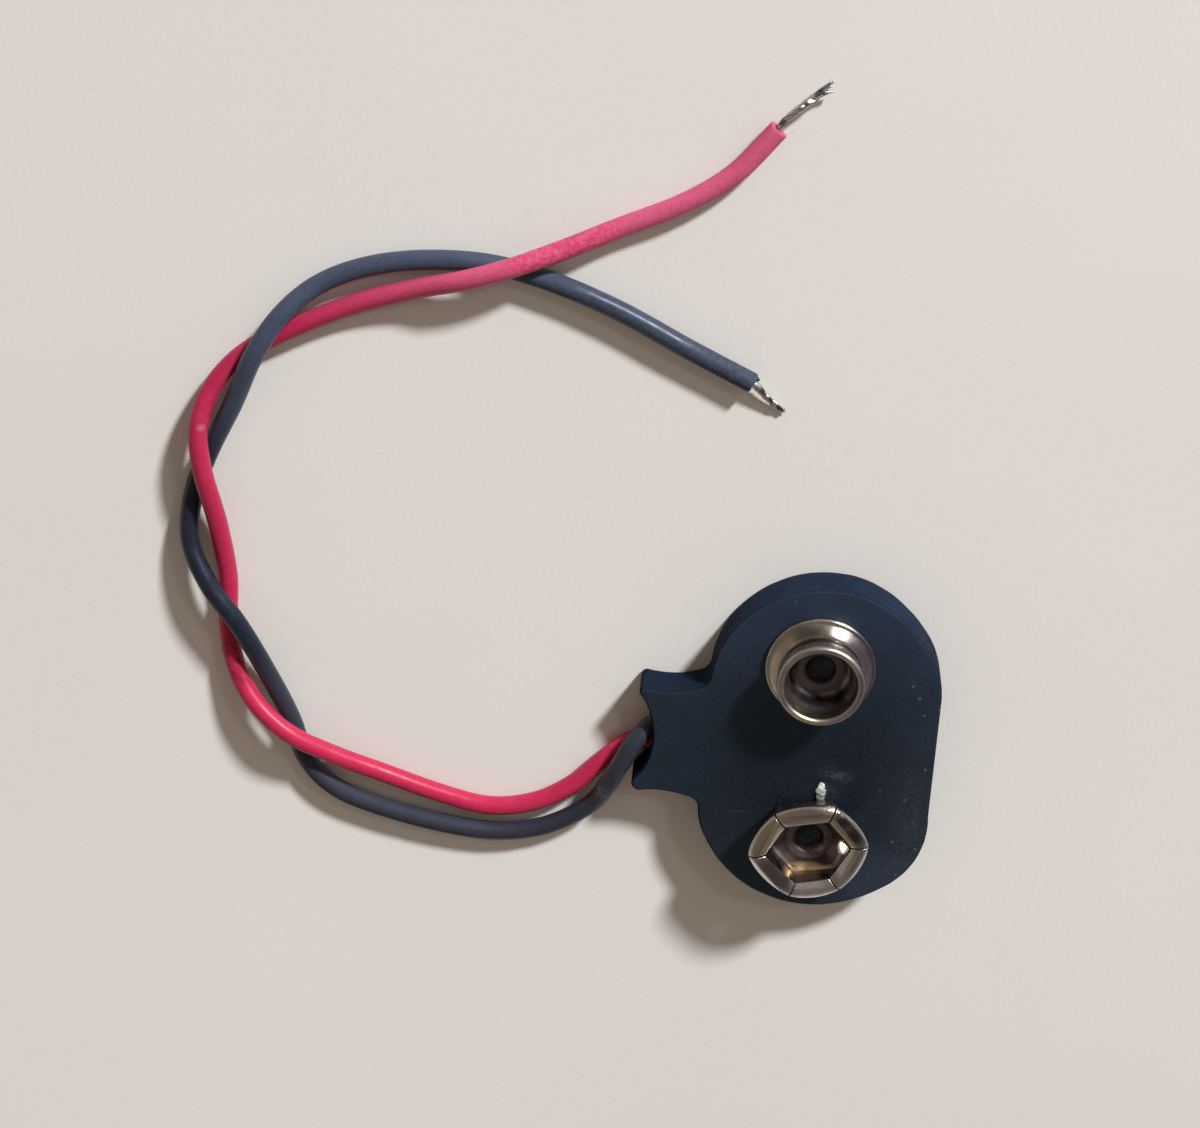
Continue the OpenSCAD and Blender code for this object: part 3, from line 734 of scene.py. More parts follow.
# Materials
class Nodes:
    """Short names for building a node tree."""

    def __init__(self, tree, place="Object"):
        self.tree = tree
        self.place = self.node("ShaderNodeTexCoord", {}).outputs[place]

    def put(self, target, value):
        """Sets a number, a vector or a colour on a socket, or links another socket to it."""
        if isinstance(value, (int, float)):
            target.default_value = value
        elif isinstance(value, tuple):
            target.default_value = (*value, 1) if target.type == "RGBA" else value
        else:
            self.tree.links.new(value, target)

    def node(self, kind, inputs, **settings):
        """A new node with its settings, and with its inputs set or linked."""
        node = self.tree.nodes.new(kind)
        for key, value in settings.items():
            setattr(node, key, value)
        for key, value in inputs.items():
            self.put(node.inputs[key], value)
        return node

    def math(self, operation, *values, clamp=False):
        node = self.node("ShaderNodeMath", dict(enumerate(values)), operation=operation, use_clamp=clamp)
        return node.outputs["Value"]

    def vector(self, operation, *values):
        node = self.node("ShaderNodeVectorMath", dict(enumerate(values)), operation=operation)
        return node.outputs["Value" if operation in ("DOT_PRODUCT", "LENGTH") else "Vector"]

    def product(self, first, *others):
        for other in others:
            first = self.math("MULTIPLY", first, other)
        return first

    def highest(self, first, *others):
        for other in others:
            first = self.math("MAXIMUM", first, other)
        return first

    def mix(self, amount, under, over, blend="MIX"):
        inputs = {"Factor": amount, 6: under, 7: over}
        return self.node("ShaderNodeMix", inputs, data_type="RGBA", blend_type=blend).outputs[2]

    def over(self, under, colour, *amounts):
        """A colour laid over another, by the product of some amounts."""
        return self.mix(self.product(*amounts), under, colour)

    def noise(self, scale, detail=4.0, rough=0.55, stretch=(1, 1, 1), offset=(0, 0, 0)):
        place = self.node("ShaderNodeMapping", {"Vector": self.place, "Scale": stretch, "Location": offset})
        inputs = {"Vector": place.outputs["Vector"], "Scale": scale, "Detail": detail, "Roughness": rough}
        return self.node("ShaderNodeTexNoise", inputs).outputs["Fac"]

    def ramp(self, value, *stops):
        """Colours or shades of grey at places along a value."""
        node = self.node("ShaderNodeValToRGB", {"Fac": value})
        elements = node.color_ramp.elements
        while len(elements) < len(stops):
            elements.new(0.5)
        for element, (place, tone) in zip(elements, stops):
            element.position = place
            element.color = (*tone, 1) if isinstance(tone, tuple) else (tone, tone, tone, 1)
        return node.outputs["Color"]

    def ease(self, value, start, end, low=0.0, high=1.0):
        """Goes smoothly from low to high while the value goes from start to end."""
        inputs = {"Value": value, "From Min": start, "From Max": end, "To Min": low, "To Max": high}
        return self.node("ShaderNodeMapRange", inputs, interpolation_type="SMOOTHSTEP").outputs["Result"]

    def axis(self, name, vector=None):
        """One coordinate of a vector, or else of the place on the part."""
        whole = self.place if vector is None else vector
        return self.node("ShaderNodeSeparateXYZ", {0: whole}).outputs[name]

    def above(self, start, end, low=0.0, high=1.0):
        """Goes from low to high between two heights above the plate, in millimetres."""
        return self.ease(self.axis("Z"), (FRONT_TOP + start) * MM, (FRONT_TOP + end) * MM, low, high)

    def away(self, centre):
        """The way to a place on the part from a centre in millimetres."""
        return self.vector("SUBTRACT", self.place, tuple(c * MM for c in centre))

    def spot(self, centre, radius, soft=0.35, stretch=(1, 1, 1)):
        """1 within radius of a centre, in millimetres, fading out at its rim."""
        distance = self.vector("LENGTH", self.vector("MULTIPLY", self.away(centre), stretch))
        return self.ease(distance, radius * MM * (1 - soft), radius * MM * (1 + soft), 1, 0)

    def across_flats(self, centre, turn):
        """Distance from a centre, measured square to the sides of a hexagon, one of them at turn degrees."""
        away = self.away(centre)
        sides = [math.radians(turn + 60 * k) for k in range(3)]
        ways = [self.vector("DOT_PRODUCT", away, (math.cos(a), math.sin(a), 0)) for a in sides]
        return self.highest(*[self.math("ABSOLUTE", way) for way in ways])

    def bump(self, height, strength, distance, under=None):
        inputs = {"Height": height, "Strength": strength, "Distance": distance}
        if under is not None:
            inputs["Normal"] = under
        return self.node("ShaderNodeBump", inputs).outputs["Normal"]


class Surface(Nodes):
    """The nodes of a new material."""

    def __init__(self, name):
        self.material = bpy.data.materials.new(name)
        self.material.use_nodes = True
        super().__init__(self.material.node_tree)
        self.shader = self.tree.nodes["Principled BSDF"]

    def finish(self, **values):
        """Sets or links inputs of the shader, and gives the material."""
        for key, value in values.items():
            self.put(self.shader.inputs[key.replace("_", " ")], value)
        return self.material


VINYL = (0.0006, 0.0014, 0.0082)
# Painted sheen: paler tones laid over the vinyl towards its ends, its outer side, its tab and one corner
PAINTED_SHEEN = {"high": (0.0155, 0.0255, 0.0540), "right": (0.0140, 0.0190, 0.0350),
            "low": (0.0092, 0.0112, 0.0220), "tab": (0.0070, 0.0130, 0.0270),
            "corner": (0.0280, 0.0370, 0.0700)}
BLOOM, PIT, PALE_GRAIN = (0.030, 0.045, 0.076), (0.0, 0.001, 0.003), (0.050, 0.062, 0.085)
SCRATCH, DUST, SPECK, SCUFF = (0.12, 0.13, 0.15), (0.36, 0.38, 0.4), (0.4, 0.42, 0.45), (0.15, 0.155, 0.17)
BLACK = (0.0, 0.0, 0.0)
# How much of its colour the vinyl keeps where it stands upright, leans, and lies flat: painted shade by slope
SLOPE_PAINTED_SHADE = ((0.0, 1.0), (0.35, 0.9), (0.95, 0.8), (1.0, 0.84))
# Direction of the lamp over the table; the walls that face it get painted shade
LAMP_WAY = (0.57, 0.82, 0.0)
# Larger specks of dust: place and radius
SPECKS = [((7.36, -0.89, 3.0), 0.09), ((6.22, -3.26, 3.0), 0.1), ((7.18, -7.09, 3.0), 0.1),
          ((6.35, -9.51, 3.0), 0.09), ((4.5, -2.6, 3.0), 0.07), ((6.9, -4.9, 3.0), 0.08),
          ((5.6, -6.6, 3.0), 0.09), ((6.6, 4.4, 3.0), 0.1), ((6.1, 5.3, 3.0), 0.07), ((7.0, 3.2, 3.0), 0.07),
          ((-1.9, 11.0, 3.0), 0.08)]
# Scuffs beside the lifted chip and down the outer side: place, radius, softness, stretch and amount
SCUFFS = [((1.75, -1.78, 3.0), 0.5, 0.8, (0.75, 1.5, 1.0), 0.42),
          ((1.1, -1.5, 3.0), 0.5, 0.8, (0.7, 1.4, 1.0), 0.2),
          ((0.95, -3.0, 3.0), 0.6, 0.7, (1, 1, 1), 0.22),
          ((6.7, -5.6, 3.0), 1.5, 0.8, (1.7, 0.42, 1.0), 0.12)]


def painted_sheen_tone(n):
    """The vinyl's tone with painted sheen: paler towards its round ends, its outer side, its tab and one
    corner.
    """
    base = n.over(VINYL, PAINTED_SHEEN["tab"], n.ease(n.axis("X"), -0.0035, -0.0105), 0.9)
    base = n.over(base, PAINTED_SHEEN["low"], n.ease(n.axis("Y"), -0.002, -0.0105), 0.9)
    base = n.over(base, PAINTED_SHEEN["right"], n.ease(n.axis("X"), 0.002, 0.0085), 0.85)
    base = n.over(base, PAINTED_SHEEN["high"], n.ease(n.axis("Y"), 0.0005, 0.0105))
    return n.over(base, PAINTED_SHEEN["corner"], n.spot((4.6, -9.6, 2.5), 2.2, 0.6), 0.9)


def scratched(n, base, broad):
    """A few hairline scratches in two directions."""
    along = n.ramp(n.noise(900, 2, 0.4, (0.12, 3.0, 1.0)), (0.71, 0.0), (0.75, 1.0))
    across = n.ramp(n.noise(700, 2, 0.4, (3.2, 0.16, 1.0), (0.4, 0.1, 0)), (0.71, 0.0), (0.76, 1.0))
    patchy = n.ramp(broad, (0.5, 0.0), (0.62, 1.0))
    return n.over(base, SCRATCH, n.highest(along, across), patchy, 0.08)


def dusted(n, base):
    """Fine dust on the face, most of it away from the leads, with larger specks."""
    uneven = n.ramp(n.noise(6500, 3, 0.6), (0.42, 0.0), (0.6, 1.0))
    cells = n.node("ShaderNodeTexVoronoi", {"Vector": n.place, "Scale": 1500})
    near = n.ease(cells.outputs["Distance"], 0.06, 0.15, 1.0, 0.0)
    draw = n.node("ShaderNodeSeparateColor", {0: cells.outputs["Color"]})
    rare = n.ease(draw.outputs["Red"], 0.88, 1.0)
    share = n.ease(n.axis("X"), -0.004, 0.0075, 0.08, 1.0)
    some = n.math("LESS_THAN", draw.outputs["Green"], share)
    base = n.over(base, DUST, near, rare, some, n.above(-0.3, -0.1), uneven, 0.55)
    specks = n.highest(*[n.spot(centre, radius, 0.8) for centre, radius in SPECKS])
    return n.over(base, SPECK, specks, uneven, 0.34)


def scuffed(n, base):
    """Places rubbed pale, with a grain of their own."""
    worn = n.highest(*[n.product(n.spot(*place), amount) for *place, amount in SCUFFS])
    return n.over(base, SCUFF, worn, n.ramp(n.noise(3600, 4, 0.7), (0.4, 0.05), (0.62, 1.0)))


def vinyl(name, dusty):
    """Worn black vinyl with painted sheen. Its rounded edges and side walls are duller than its face, its
    colour is scaled by slope and the walls toward the lamp are darker than the others, both painted shade."""
    n = Surface(name)
    broad, fine, grain = n.noise(330, 3), n.noise(5200, 5, 0.6), n.noise(15000, 2)
    # Painted sheen over the vinyl's own tone
    base = painted_sheen_tone(n)
    base = n.over(base, tuple(c * 0.35 for c in VINYL), n.ramp(broad, (0.35, 1.0), (0.6, 0.0)), 0.28)
    base = n.over(base, BLOOM, n.ramp(fine, (0.48, 0.0), (0.8, 1.0)), 0.22)
    base = n.over(base, PIT, n.ramp(grain, (0.36, 1.0), (0.5, 0.0)), 0.4)
    base = n.over(base, PALE_GRAIN, n.ramp(grain, (0.52, 0.0), (0.68, 1.0)), 0.14)
    base = scratched(n, base, broad)
    if dusty:
        base = scuffed(n, dusted(n, base))
    outward = n.node("ShaderNodeNewGeometry", {}).outputs["Normal"]
    flat = n.axis("Z", outward)
    # Painted shade by slope
    base = n.mix(n.ramp(flat, *SLOPE_PAINTED_SHADE), BLACK, base)
    # Painted shade on the walls that face the lamp
    lit = n.vector("DOT_PRODUCT", outward, LAMP_WAY)
    base = n.over(base, BLACK, n.ease(lit, 0.1, 0.85, 0.0, 0.12))
    rough = n.math("ADD", n.ramp(fine, (0.3, 0.46), (0.75, 0.58)), n.ease(flat, 0.85, 0.97, 0.38, 0.0))
    normal = n.bump(broad, 0.2, 0.0001)
    normal = n.bump(fine, 0.3, 0.00002, normal)
    normal = n.bump(grain, 0.25, 0.000008, normal)
    return n.finish(Base_Color=base, Roughness=rough, Normal=normal, Specular_Tint=(0.55, 0.8, 1.0),
                    Specular_IOR_Level=n.ease(flat, 0.8, 0.97, 0.08, 0.7))


# Tones of the plating: light and dark, where it is smeared, and painted shade inside a bowl and under a bead
PLATE, SMEAR = ((0.44, 0.385, 0.335), (0.37, 0.325, 0.325)), (0.60, 0.56, 0.50)
BOWL_PAINTED_SHADE, BEAD_PAINTED_SHADE = ((0.095, 0.082, 0.088), (0.17, 0.135, 0.147)), (0.12, 0.105, 0.09)


def banded(n, base, place, bands):
    """Painted reflections and highlight lines that run along the raised sides of a hexagon, between two
    distances from its axis.
    """
    across, raised = n.across_flats(place, SOCKET_TURN), n.above(2.0, 2.2)
    for near, far, where, radius, colour, amount in bands:
        rise = n.ease(across, (near - 0.05) * MM, (near + 0.05) * MM)
        fall = n.ease(across, (far - 0.05) * MM, (far + 0.05) * MM, 1.0, 0.0)
        base = n.over(base, colour, rise, fall, raised, n.spot(where, radius, 0.3), amount)
    return base


def plated(name, place, inner, top, neck, dull, tints, bands=()):
    """Bright plating, with painted shade inside the bowl of a contact within inner of its axis and below top
    and under its bead within neck of the axis, with tints and bands of painted light, rougher on its rim by
    dull."""
    n = Surface(name)
    centre, upright = (place.x, place.y, 0), (1, 1, 0)
    smear = n.noise(1300, 4, 0.6)
    plain = n.mix(n.ramp(n.noise(420, 3), (0.35, 0.0), (0.65, 1.0)), *PLATE)
    base = n.over(plain, SMEAR, n.ramp(smear, (0.42, 0.0), (0.75, 0.5)))
    # Painted shade under the bead
    under = n.product(n.spot(centre, neck, 0.07, upright), n.above(1.7, 2.1, 1.0, 0.0))
    base = n.over(base, BEAD_PAINTED_SHADE, under, 0.8)
    bowl = n.product(n.spot(centre, inner, 0.08, upright), n.above(top - 0.45, top, 1.0, 0.0))
    # Painted shade inside the bowl, uneven in tone
    bowl_shade = n.mix(n.ramp(n.noise(900, 3, 0.6), (0.35, 0.0), (0.65, 1.0)), *BOWL_PAINTED_SHADE)
    base = n.over(base, bowl_shade, bowl, 0.94)
    patchy = n.ramp(smear, (0.3, 0.6), (0.6, 1.0))
    # Tints: painted reflections, highlights and shade
    for where, radius, stretch, colour, amount in tints:
        base = n.over(base, colour, n.spot(where, radius, 0.4, stretch), patchy, amount)
    if bands:
        base = banded(n, base, place, bands)
    rough = n.math("ADD", n.ramp(smear, (0.3, 0.2), (0.75, 0.31)), n.product(bowl, 0.28))
    rim = n.math("SUBTRACT", n.above(1.9, 2.3), bowl, clamp=True)
    rough = n.math("ADD", rough, n.product(rim, dull))
    normal = n.bump(n.noise(4200, 3, 0.6), 0.08, 0.00001, n.bump(smear, 0.12, 0.00003))
    return n.finish(Base_Color=base, Roughness=rough, Normal=normal, Metallic=1.0)


def metal(name, grain, tones, rough, relief, tints=(), metallic=1.0):
    """Metal that wavers between two tones and two degrees of polish, with patches of other tones."""
    n = Surface(name)
    waver = n.noise(*grain)
    base = n.mix(n.ramp(waver, (0.35, 0.0), (0.7, 1.0)), *tones)
    for centre, radius, stretch, colour, amount in tints:
        base = n.over(base, colour, n.spot(centre, radius, 0.4, stretch), amount)
    relief_grain, strength, depth = relief
    return n.finish(Base_Color=base, Roughness=n.ramp(waver, (0.3, rough[0]), (0.75, rough[1])),
                    Normal=n.bump(n.noise(*relief_grain), strength, depth), Metallic=metallic)


def insulation(name, tones, limits, sheen, patches, dull):
    """Insulation with three stretches of tone between four limits along Y, their changes painted light and
    shade.
    """
    n = Surface(name)
    low, middle, high = tones
    base = n.mix(n.ease(n.axis("Y"), limits[0], limits[1]), low, middle)
    base = n.over(base, high, n.ease(n.axis("Y"), limits[2], limits[3]))
    mottle = n.ramp(n.noise(1500, 4, 0.6), (0.4, 0.0), (0.8, 1.0))
    base = n.over(base, tuple(c * 0.6 for c in high), mottle, 0.3)
    speckle = n.ramp(n.noise(5600, 3, 0.7), (0.5, 0.0), (0.72, 1.0))
    base = n.over(base, tuple(c * 0.45 for c in middle), speckle, 0.35)
    patchy = n.ramp(n.noise(3600, 3), (0.36, 0.0), (0.6, 1.0))
    # Patches of other tone, some of them painted shadow and shade
    for centre, radius, amount, colour in patches:
        base = n.over(base, colour, n.spot(centre, radius, 0.5), patchy, amount)
    rough = n.ramp(n.noise(2400, 3), (0.3, 0.29), (0.75, 0.44))
    for centre, radius in dull:
        rough = n.math("ADD", rough, n.product(n.spot(centre, radius, 0.3), 0.36))
    normal = n.bump(n.noise(9000, 3), 0.15, 0.00001, n.bump(n.noise(2600, 4), 0.18, 0.00003))
    return n.finish(Base_Color=base, Roughness=rough, Normal=normal, Specular_IOR_Level=0.3,
                    Specular_Tint=sheen)


def torn(name):
    """The pale inside of torn vinyl, darker at its lower end."""
    n = Surface(name)
    lumps = n.noise(3000, 4, 0.6)
    base = n.mix(n.ramp(lumps, (0.35, 0.0), (0.65, 1.0)), (0.26, 0.27, 0.285), (0.56, 0.565, 0.57))
    base = n.mix(n.ease(n.axis("Y"), -0.0034, -0.0028), (0.15, 0.155, 0.165), base)
    return n.finish(Base_Color=base, Roughness=0.6, Normal=n.bump(lumps, 0.6, 0.00005))


# Tints of plated metal: place, radius, stretch, colour and amount. They are painted reflections, highlights
# and shade.
STUD_PAINTED_LIGHT = [
    # Flange: painted reflections, golden on the side of the tab and dark on the other, with a painted
    # highlight
    ((-3.5, 6.0, 3.2), 1.5, (1.6, 0.6, 0.8), (0.66, 0.62, 0.52), 0.85),
    ((-3.0, 6.9, 3.7), 1.2, (1.6, 0.6, 0.8), (0.30, 0.26, 0.225), 0.8),
    ((-2.23, 8.69, 3.6), 0.7, (1.0, 1.0, 0.8), (0.44, 0.33, 0.28), 0.7),
    ((0.9, 9.7, 3.3), 1.1, (0.6, 1.8, 0.9), (0.60, 0.56, 0.42), 0.7),
    ((3.5, 6.3, 3.5), 2.2, (1.2, 0.55, 0.6), (0.20, 0.175, 0.21), 0.9),
    ((2.6, 3.9, 3.8), 1.3, (1.0, 1.0, 0.6), (0.25, 0.215, 0.22), 0.7),
    # The bead: painted reflections, brownish on one side, with a golden painted highlight below
    ((-0.4, 8.85, 5.1), 1.0, (0.6, 1.2, 1.0), (0.22, 0.195, 0.185), 0.85),
    ((-2.6, 6.9, 5.1), 1.2, (1.2, 0.6, 1.0), (0.30, 0.265, 0.25), 0.7),
    ((-2.05, 4.3, 4.9), 0.75, (1.0, 0.8, 1.0), (0.17, 0.15, 0.14), 0.8),
    ((-0.9, 4.0, 5.45), 1.1, (0.7, 1.2, 2.4), (0.80, 0.70, 0.38), 0.85),
    ((2.5, 5.0, 5.2), 1.2, (1.0, 0.7, 1.0), (0.30, 0.24, 0.24), 0.75),
    # The slope under the bead: painted shade
    ((-0.4, 9.0, 3.85), 1.0, (0.6, 1.6, 1.0), (0.15, 0.135, 0.12), 0.85),
    # The bowl: painted shade below, with faint painted reflections
    ((0.2, 4.05, 4.4), 1.35, (0.62, 1.0, 1.0), (0.040, 0.038, 0.045), 0.92),
    ((-1.9, 6.4, 4.2), 0.9, (1.2, 0.7, 0.7), (0.075, 0.065, 0.06), 0.7),
    ((-1.29, 5.36, 3.5), 0.5, (1.6, 0.8, 0.4), (0.34, 0.19, 0.22), 0.6),
    ((1.73, 5.48, 3.8), 0.45, (1.4, 0.8, 0.4), (0.46, 0.41, 0.42), 0.6),
    ((0.62, 4.59, 3.3), 0.45, (0.9, 1.2, 0.4), (0.36, 0.27, 0.18), 0.6),
    ((1.71, 6.99, 4.4), 0.5, (1.2, 0.8, 0.5), (0.44, 0.36, 0.42), 0.6)]
SOCKET_PAINTED_LIGHT = [
    # One tone for each petal: painted reflections
    ((-2.8, -5.27, 5.4), 1.3, (1, 1, 0.7), (0.46, 0.37, 0.29), 0.85),
    ((-0.47, -3.39, 5.4), 1.3, (1, 1, 0.7), (0.46, 0.36, 0.315), 0.85),
    ((2.33, -4.46, 5.4), 1.35, (1, 1, 0.7), (0.055, 0.048, 0.052), 0.95),
    ((2.8, -7.42, 5.4), 1.3, (1, 1, 0.7), (0.43, 0.385, 0.36), 0.85),
    ((0.47, -9.31, 5.4), 1.3, (1, 1, 0.7), (0.74, 0.66, 0.67), 0.88),
    ((-2.33, -8.24, 5.4), 1.35, (1, 1, 0.7), (0.17, 0.137, 0.142), 0.9),
    # Painted reflections and shade in the bowl, then golden painted highlights round the polished spots on
    # the lips
    ((2.0, -7.6, 4.2), 0.9, (0.9, 0.9, 0.6), (0.62, 0.50, 0.52), 0.9),
    ((0.2, -9.05, 4.4), 0.9, (0.4, 1.2, 0.8), (0.56, 0.47, 0.49), 0.85),
    ((-1.7, -7.9, 4.0), 0.8, (0.8, 0.8, 0.6), (0.32, 0.26, 0.26), 0.8),
    ((0.02, -8.85, 3.5), 0.75, (0.5, 1.5, 0.9), (1.0, 0.80, 0.48), 0.95),
    ((1.0, -8.9, 3.5), 0.38, (0.9, 1.3, 0.9), (0.90, 0.50, 0.30), 0.85),
    ((0.07, -7.09, 3.3), 0.36, (0.5, 1.6, 0.5), (0.60, 0.38, 0.40), 0.9),
    ((0.46, -7.8, 3.3), 0.5, (0.5, 1.4, 0.5), (0.06, 0.065, 0.055), 0.7),
    ((2.24, -5.72, 5.3), 0.7, (1, 1, 1), (0.9, 0.74, 0.5), 0.9),
    ((1.2, -2.98, 5.42), 0.45, (1, 1, 1), (0.9, 0.82, 0.6), 0.8)]
# Painted reflections and highlights along a petal: distances from the axis square to its side, place, radius,
# colour and amount
PETAL_PAINTED_REFLECTIONS = [
    (2.2, 2.95, (1.35, -4.5, 5.3), 1.35, (0.45, 0.38, 0.26), 0.8),
    (2.2, 2.68, (2.3, -5.3, 5.3), 1.0, (0.50, 0.38, 0.24), 0.8),
    (2.2, 2.68, (-2.5, -5.5, 5.3), 1.3, (1.0, 0.95, 0.82), 0.95),
    (2.72, 3.0, (-2.7, -5.3, 5.4), 1.4, (0.74, 0.60, 0.32), 0.85),
    (2.86, 2.97, (-0.47, -3.39, 5.4), 1.3, (0.26, 0.13, 0.12), 0.5),
    (2.2, 2.64, (2.6, -6.9, 5.3), 1.1, (0.92, 0.90, 0.86), 0.8),
    (2.66, 2.9, (2.7, -7.6, 5.4), 1.3, (0.62, 0.55, 0.42), 0.6),
    (2.2, 2.66, (0.0, -8.9, 5.3), 1.1, (0.92, 0.88, 0.88), 0.8),
    (3.32, 5.0, (0.47, -9.6, 5.3), 2.0, (0.85, 0.80, 0.86), 0.8),
    (3.32, 5.0, (-2.6, -8.5, 5.3), 1.9, (0.90, 0.88, 0.88), 0.9),
    (3.32, 5.0, (3.0, -7.6, 5.3), 1.9, (0.72, 0.68, 0.74), 0.8),
    (3.6, 5.0, (2.6, -4.3, 5.3), 1.6, (0.50, 0.50, 0.48), 0.8)]
# Tints of the socket's eyelet, a painted reflection and painted shade, and of the strands, in the same order
# as those of plated metal
TUBE_PAINTED_LIGHT = [((0.15, -7.05, 3.2), 0.42, (0.5, 1.4, 0.6), (0.62, 0.40, 0.41), 0.95),
              ((-0.6, -6.7, 3.2), 0.4, (1.0, 1.0, 0.6), (0.06, 0.05, 0.055), 0.8)]
RED_CORE_TINTS = [((-2.31, 43.78, 0.85), 0.3, (1, 1, 1), (0.12, 0.115, 0.11), 0.85),
                  ((-4.45, 41.95, 0.8), 0.25, (1, 1, 1), (0.16, 0.15, 0.14), 0.8)]
BLACK_CORE_TINTS = [((-4.59, 24.6, 0.85), 0.32, (1, 1, 1), (0.085, 0.078, 0.07), 0.9),
                    ((-4.05, 24.02, 0.65), 0.3, (1, 1, 1), (0.06, 0.052, 0.046), 0.95),
                    ((-3.5, 23.38, 0.45), 0.3, (1, 1, 1), (0.05, 0.042, 0.036), 0.95)]
# Patches of other tone on the leads: place, radius, amount and colour
# Red: painted shadow where the black lead crosses, painted shade in the body's mouth, a pale spot and a
# darker stretch
RED_PATCHES = [((-39.2, 3.6, 1.5), 1.7, 0.75, (0.16, 0.008, 0.030)),
               ((-11.0, -1.2, 1.1), 0.85, 0.97, (0.010, 0.006, 0.010)),
               ((-40.6, 20.8, 2.2), 0.3, 0.35, (0.62, 0.56, 0.55)),
               ((-17.6, 33.3, 1.6), 3.8, 0.75, (0.44, 0.026, 0.088))]
# Black: a pale spot, then two stretches of painted shade that tone down its sheen
BLACK_PATCHES = [((-14.3, -4.4, 2.5), 0.5, 0.1, (0.62, 0.56, 0.55)),
                 ((-5.0, 24.8, 0.75), 4.0, 0.6, (0.026, 0.030, 0.054)),
                 ((-13.5, 29.4, 0.75), 6.5, 0.6, (0.028, 0.033, 0.056))]
# Places on the leads that are duller, with their radii
RED_DULL = [((-4.5, 41.5, 0.75), 6.0)]
BLACK_DULL = [((-4.5, 24.5, 0.75), 5.5), ((-19.8, 31.6, 1.2), 3.6), ((-28.5, -6.6, 1.2), 6.5)]
# Tones of the leads low, in the middle and high on the photo, and the limits between them along Y in metres
# The change from one tone to the next along Y is painted light and shade
RED_TONES = ((0.47, 0.019, 0.072), (0.40, 0.016, 0.066), (0.58, 0.100, 0.205))
BLACK_TONES = ((0.029, 0.030, 0.048), (0.0110, 0.0135, 0.0255), (0.050, 0.064, 0.104))
RED_LIMITS, BLACK_LIMITS = (0.006, 0.014, 0.027, 0.034), (0.001, 0.006, 0.017, 0.023)
# Metals: grain, two tones, two degrees of roughness and relief
FINE_RELIEF = ((2400, 4), 0.2, 0.00002)
TINNED = ((3000, 4), ((0.36, 0.345, 0.325), (0.66, 0.65, 0.63)), (0.46, 0.3), ((7000, 3), 0.25, 0.00002))
# The eyelets' dark tones are painted shade down in the bowls
TUBE_PAINTED_SHADE = ((1500, 4, 0.6), ((0.10, 0.090, 0.094), (0.17, 0.145, 0.148)), (0.5, 0.62),
        ((1500, 4, 0.6), 0.15, 0.00003))
# Solder in the eyelet barrels, far darker than solder: painted shade down the holes
SOLDER_PAINTED_SHADE = ((2400, 4), ((0.035, 0.042, 0.048), (0.075, 0.08, 0.09)), (0.5, 0.62), FINE_RELIEF)
BRASS = ((2400, 4), ((0.52, 0.38, 0.16), (0.66, 0.5, 0.24)), (0.28, 0.4), FINE_RELIEF)
SOLDER = ((2400, 4), ((0.42, 0.43, 0.44), (0.6, 0.61, 0.62)), (0.25, 0.45), FINE_RELIEF)


def paint(ob, material):
    ob.data.materials.clear()
    ob.data.materials.append(material)


def paint_inside(nodes, material):
    """Paints CAD nodes that stay as they are inside the body."""
    for node in nodes:
        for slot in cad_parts[node].material_slots:
            slot.link = "OBJECT"
            slot.material = material


paint(front, vinyl("black_vinyl_front", dusty=True))
paint(cover, vinyl("black_vinyl_cover", dusty=False))
paint(stud, plated("stud_nickel", STUD, inner=2.42, top=2.55, neck=3.1, dull=0.13, tints=STUD_PAINTED_LIGHT))
paint(socket, plated("socket_nickel", SOCKET, inner=2.5, top=2.2, neck=3.4, dull=0.0, tints=SOCKET_PAINTED_LIGHT,
                     bands=PETAL_PAINTED_REFLECTIONS))
paint(stud_eyelet, metal("stud_eyelet_metal", *TUBE_PAINTED_SHADE, metallic=0.6))
paint(socket_eyelet, metal("socket_eyelet_metal", *TUBE_PAINTED_SHADE, tints=TUBE_PAINTED_LIGHT, metallic=0.6))
# The barrel fills: their dark tone is painted shade
solder_painted_shade = metal("solder_painted_shade", *SOLDER_PAINTED_SHADE)
for ob in fills:
    paint(ob, solder_painted_shade)
paint(red, insulation("red_pvc", RED_TONES, RED_LIMITS, sheen=(1.0, 0.68, 0.62), patches=RED_PATCHES,
                      dull=RED_DULL))
paint(black, insulation("black_pvc", BLACK_TONES, BLACK_LIMITS, sheen=(0.75, 0.85, 0.95),
                        patches=BLACK_PATCHES, dull=BLACK_DULL))
paint(red_core, metal("red_lead_strands", *TINNED, tints=RED_CORE_TINTS))
paint(black_core, metal("black_lead_strands", *TINNED, tints=BLACK_CORE_TINTS))
paint(flake, torn("torn_vinyl"))
paint_inside(("stud_solder_tab", "socket_solder_tab"), metal("tab_brass", *BRASS))
paint_inside(("black_solder_joint", "red_solder_joint"), metal("solder_tin", *SOLDER))
paint_inside(("black_inner_strands", "red_inner_strands"), metal("tinned_strands", *TINNED))


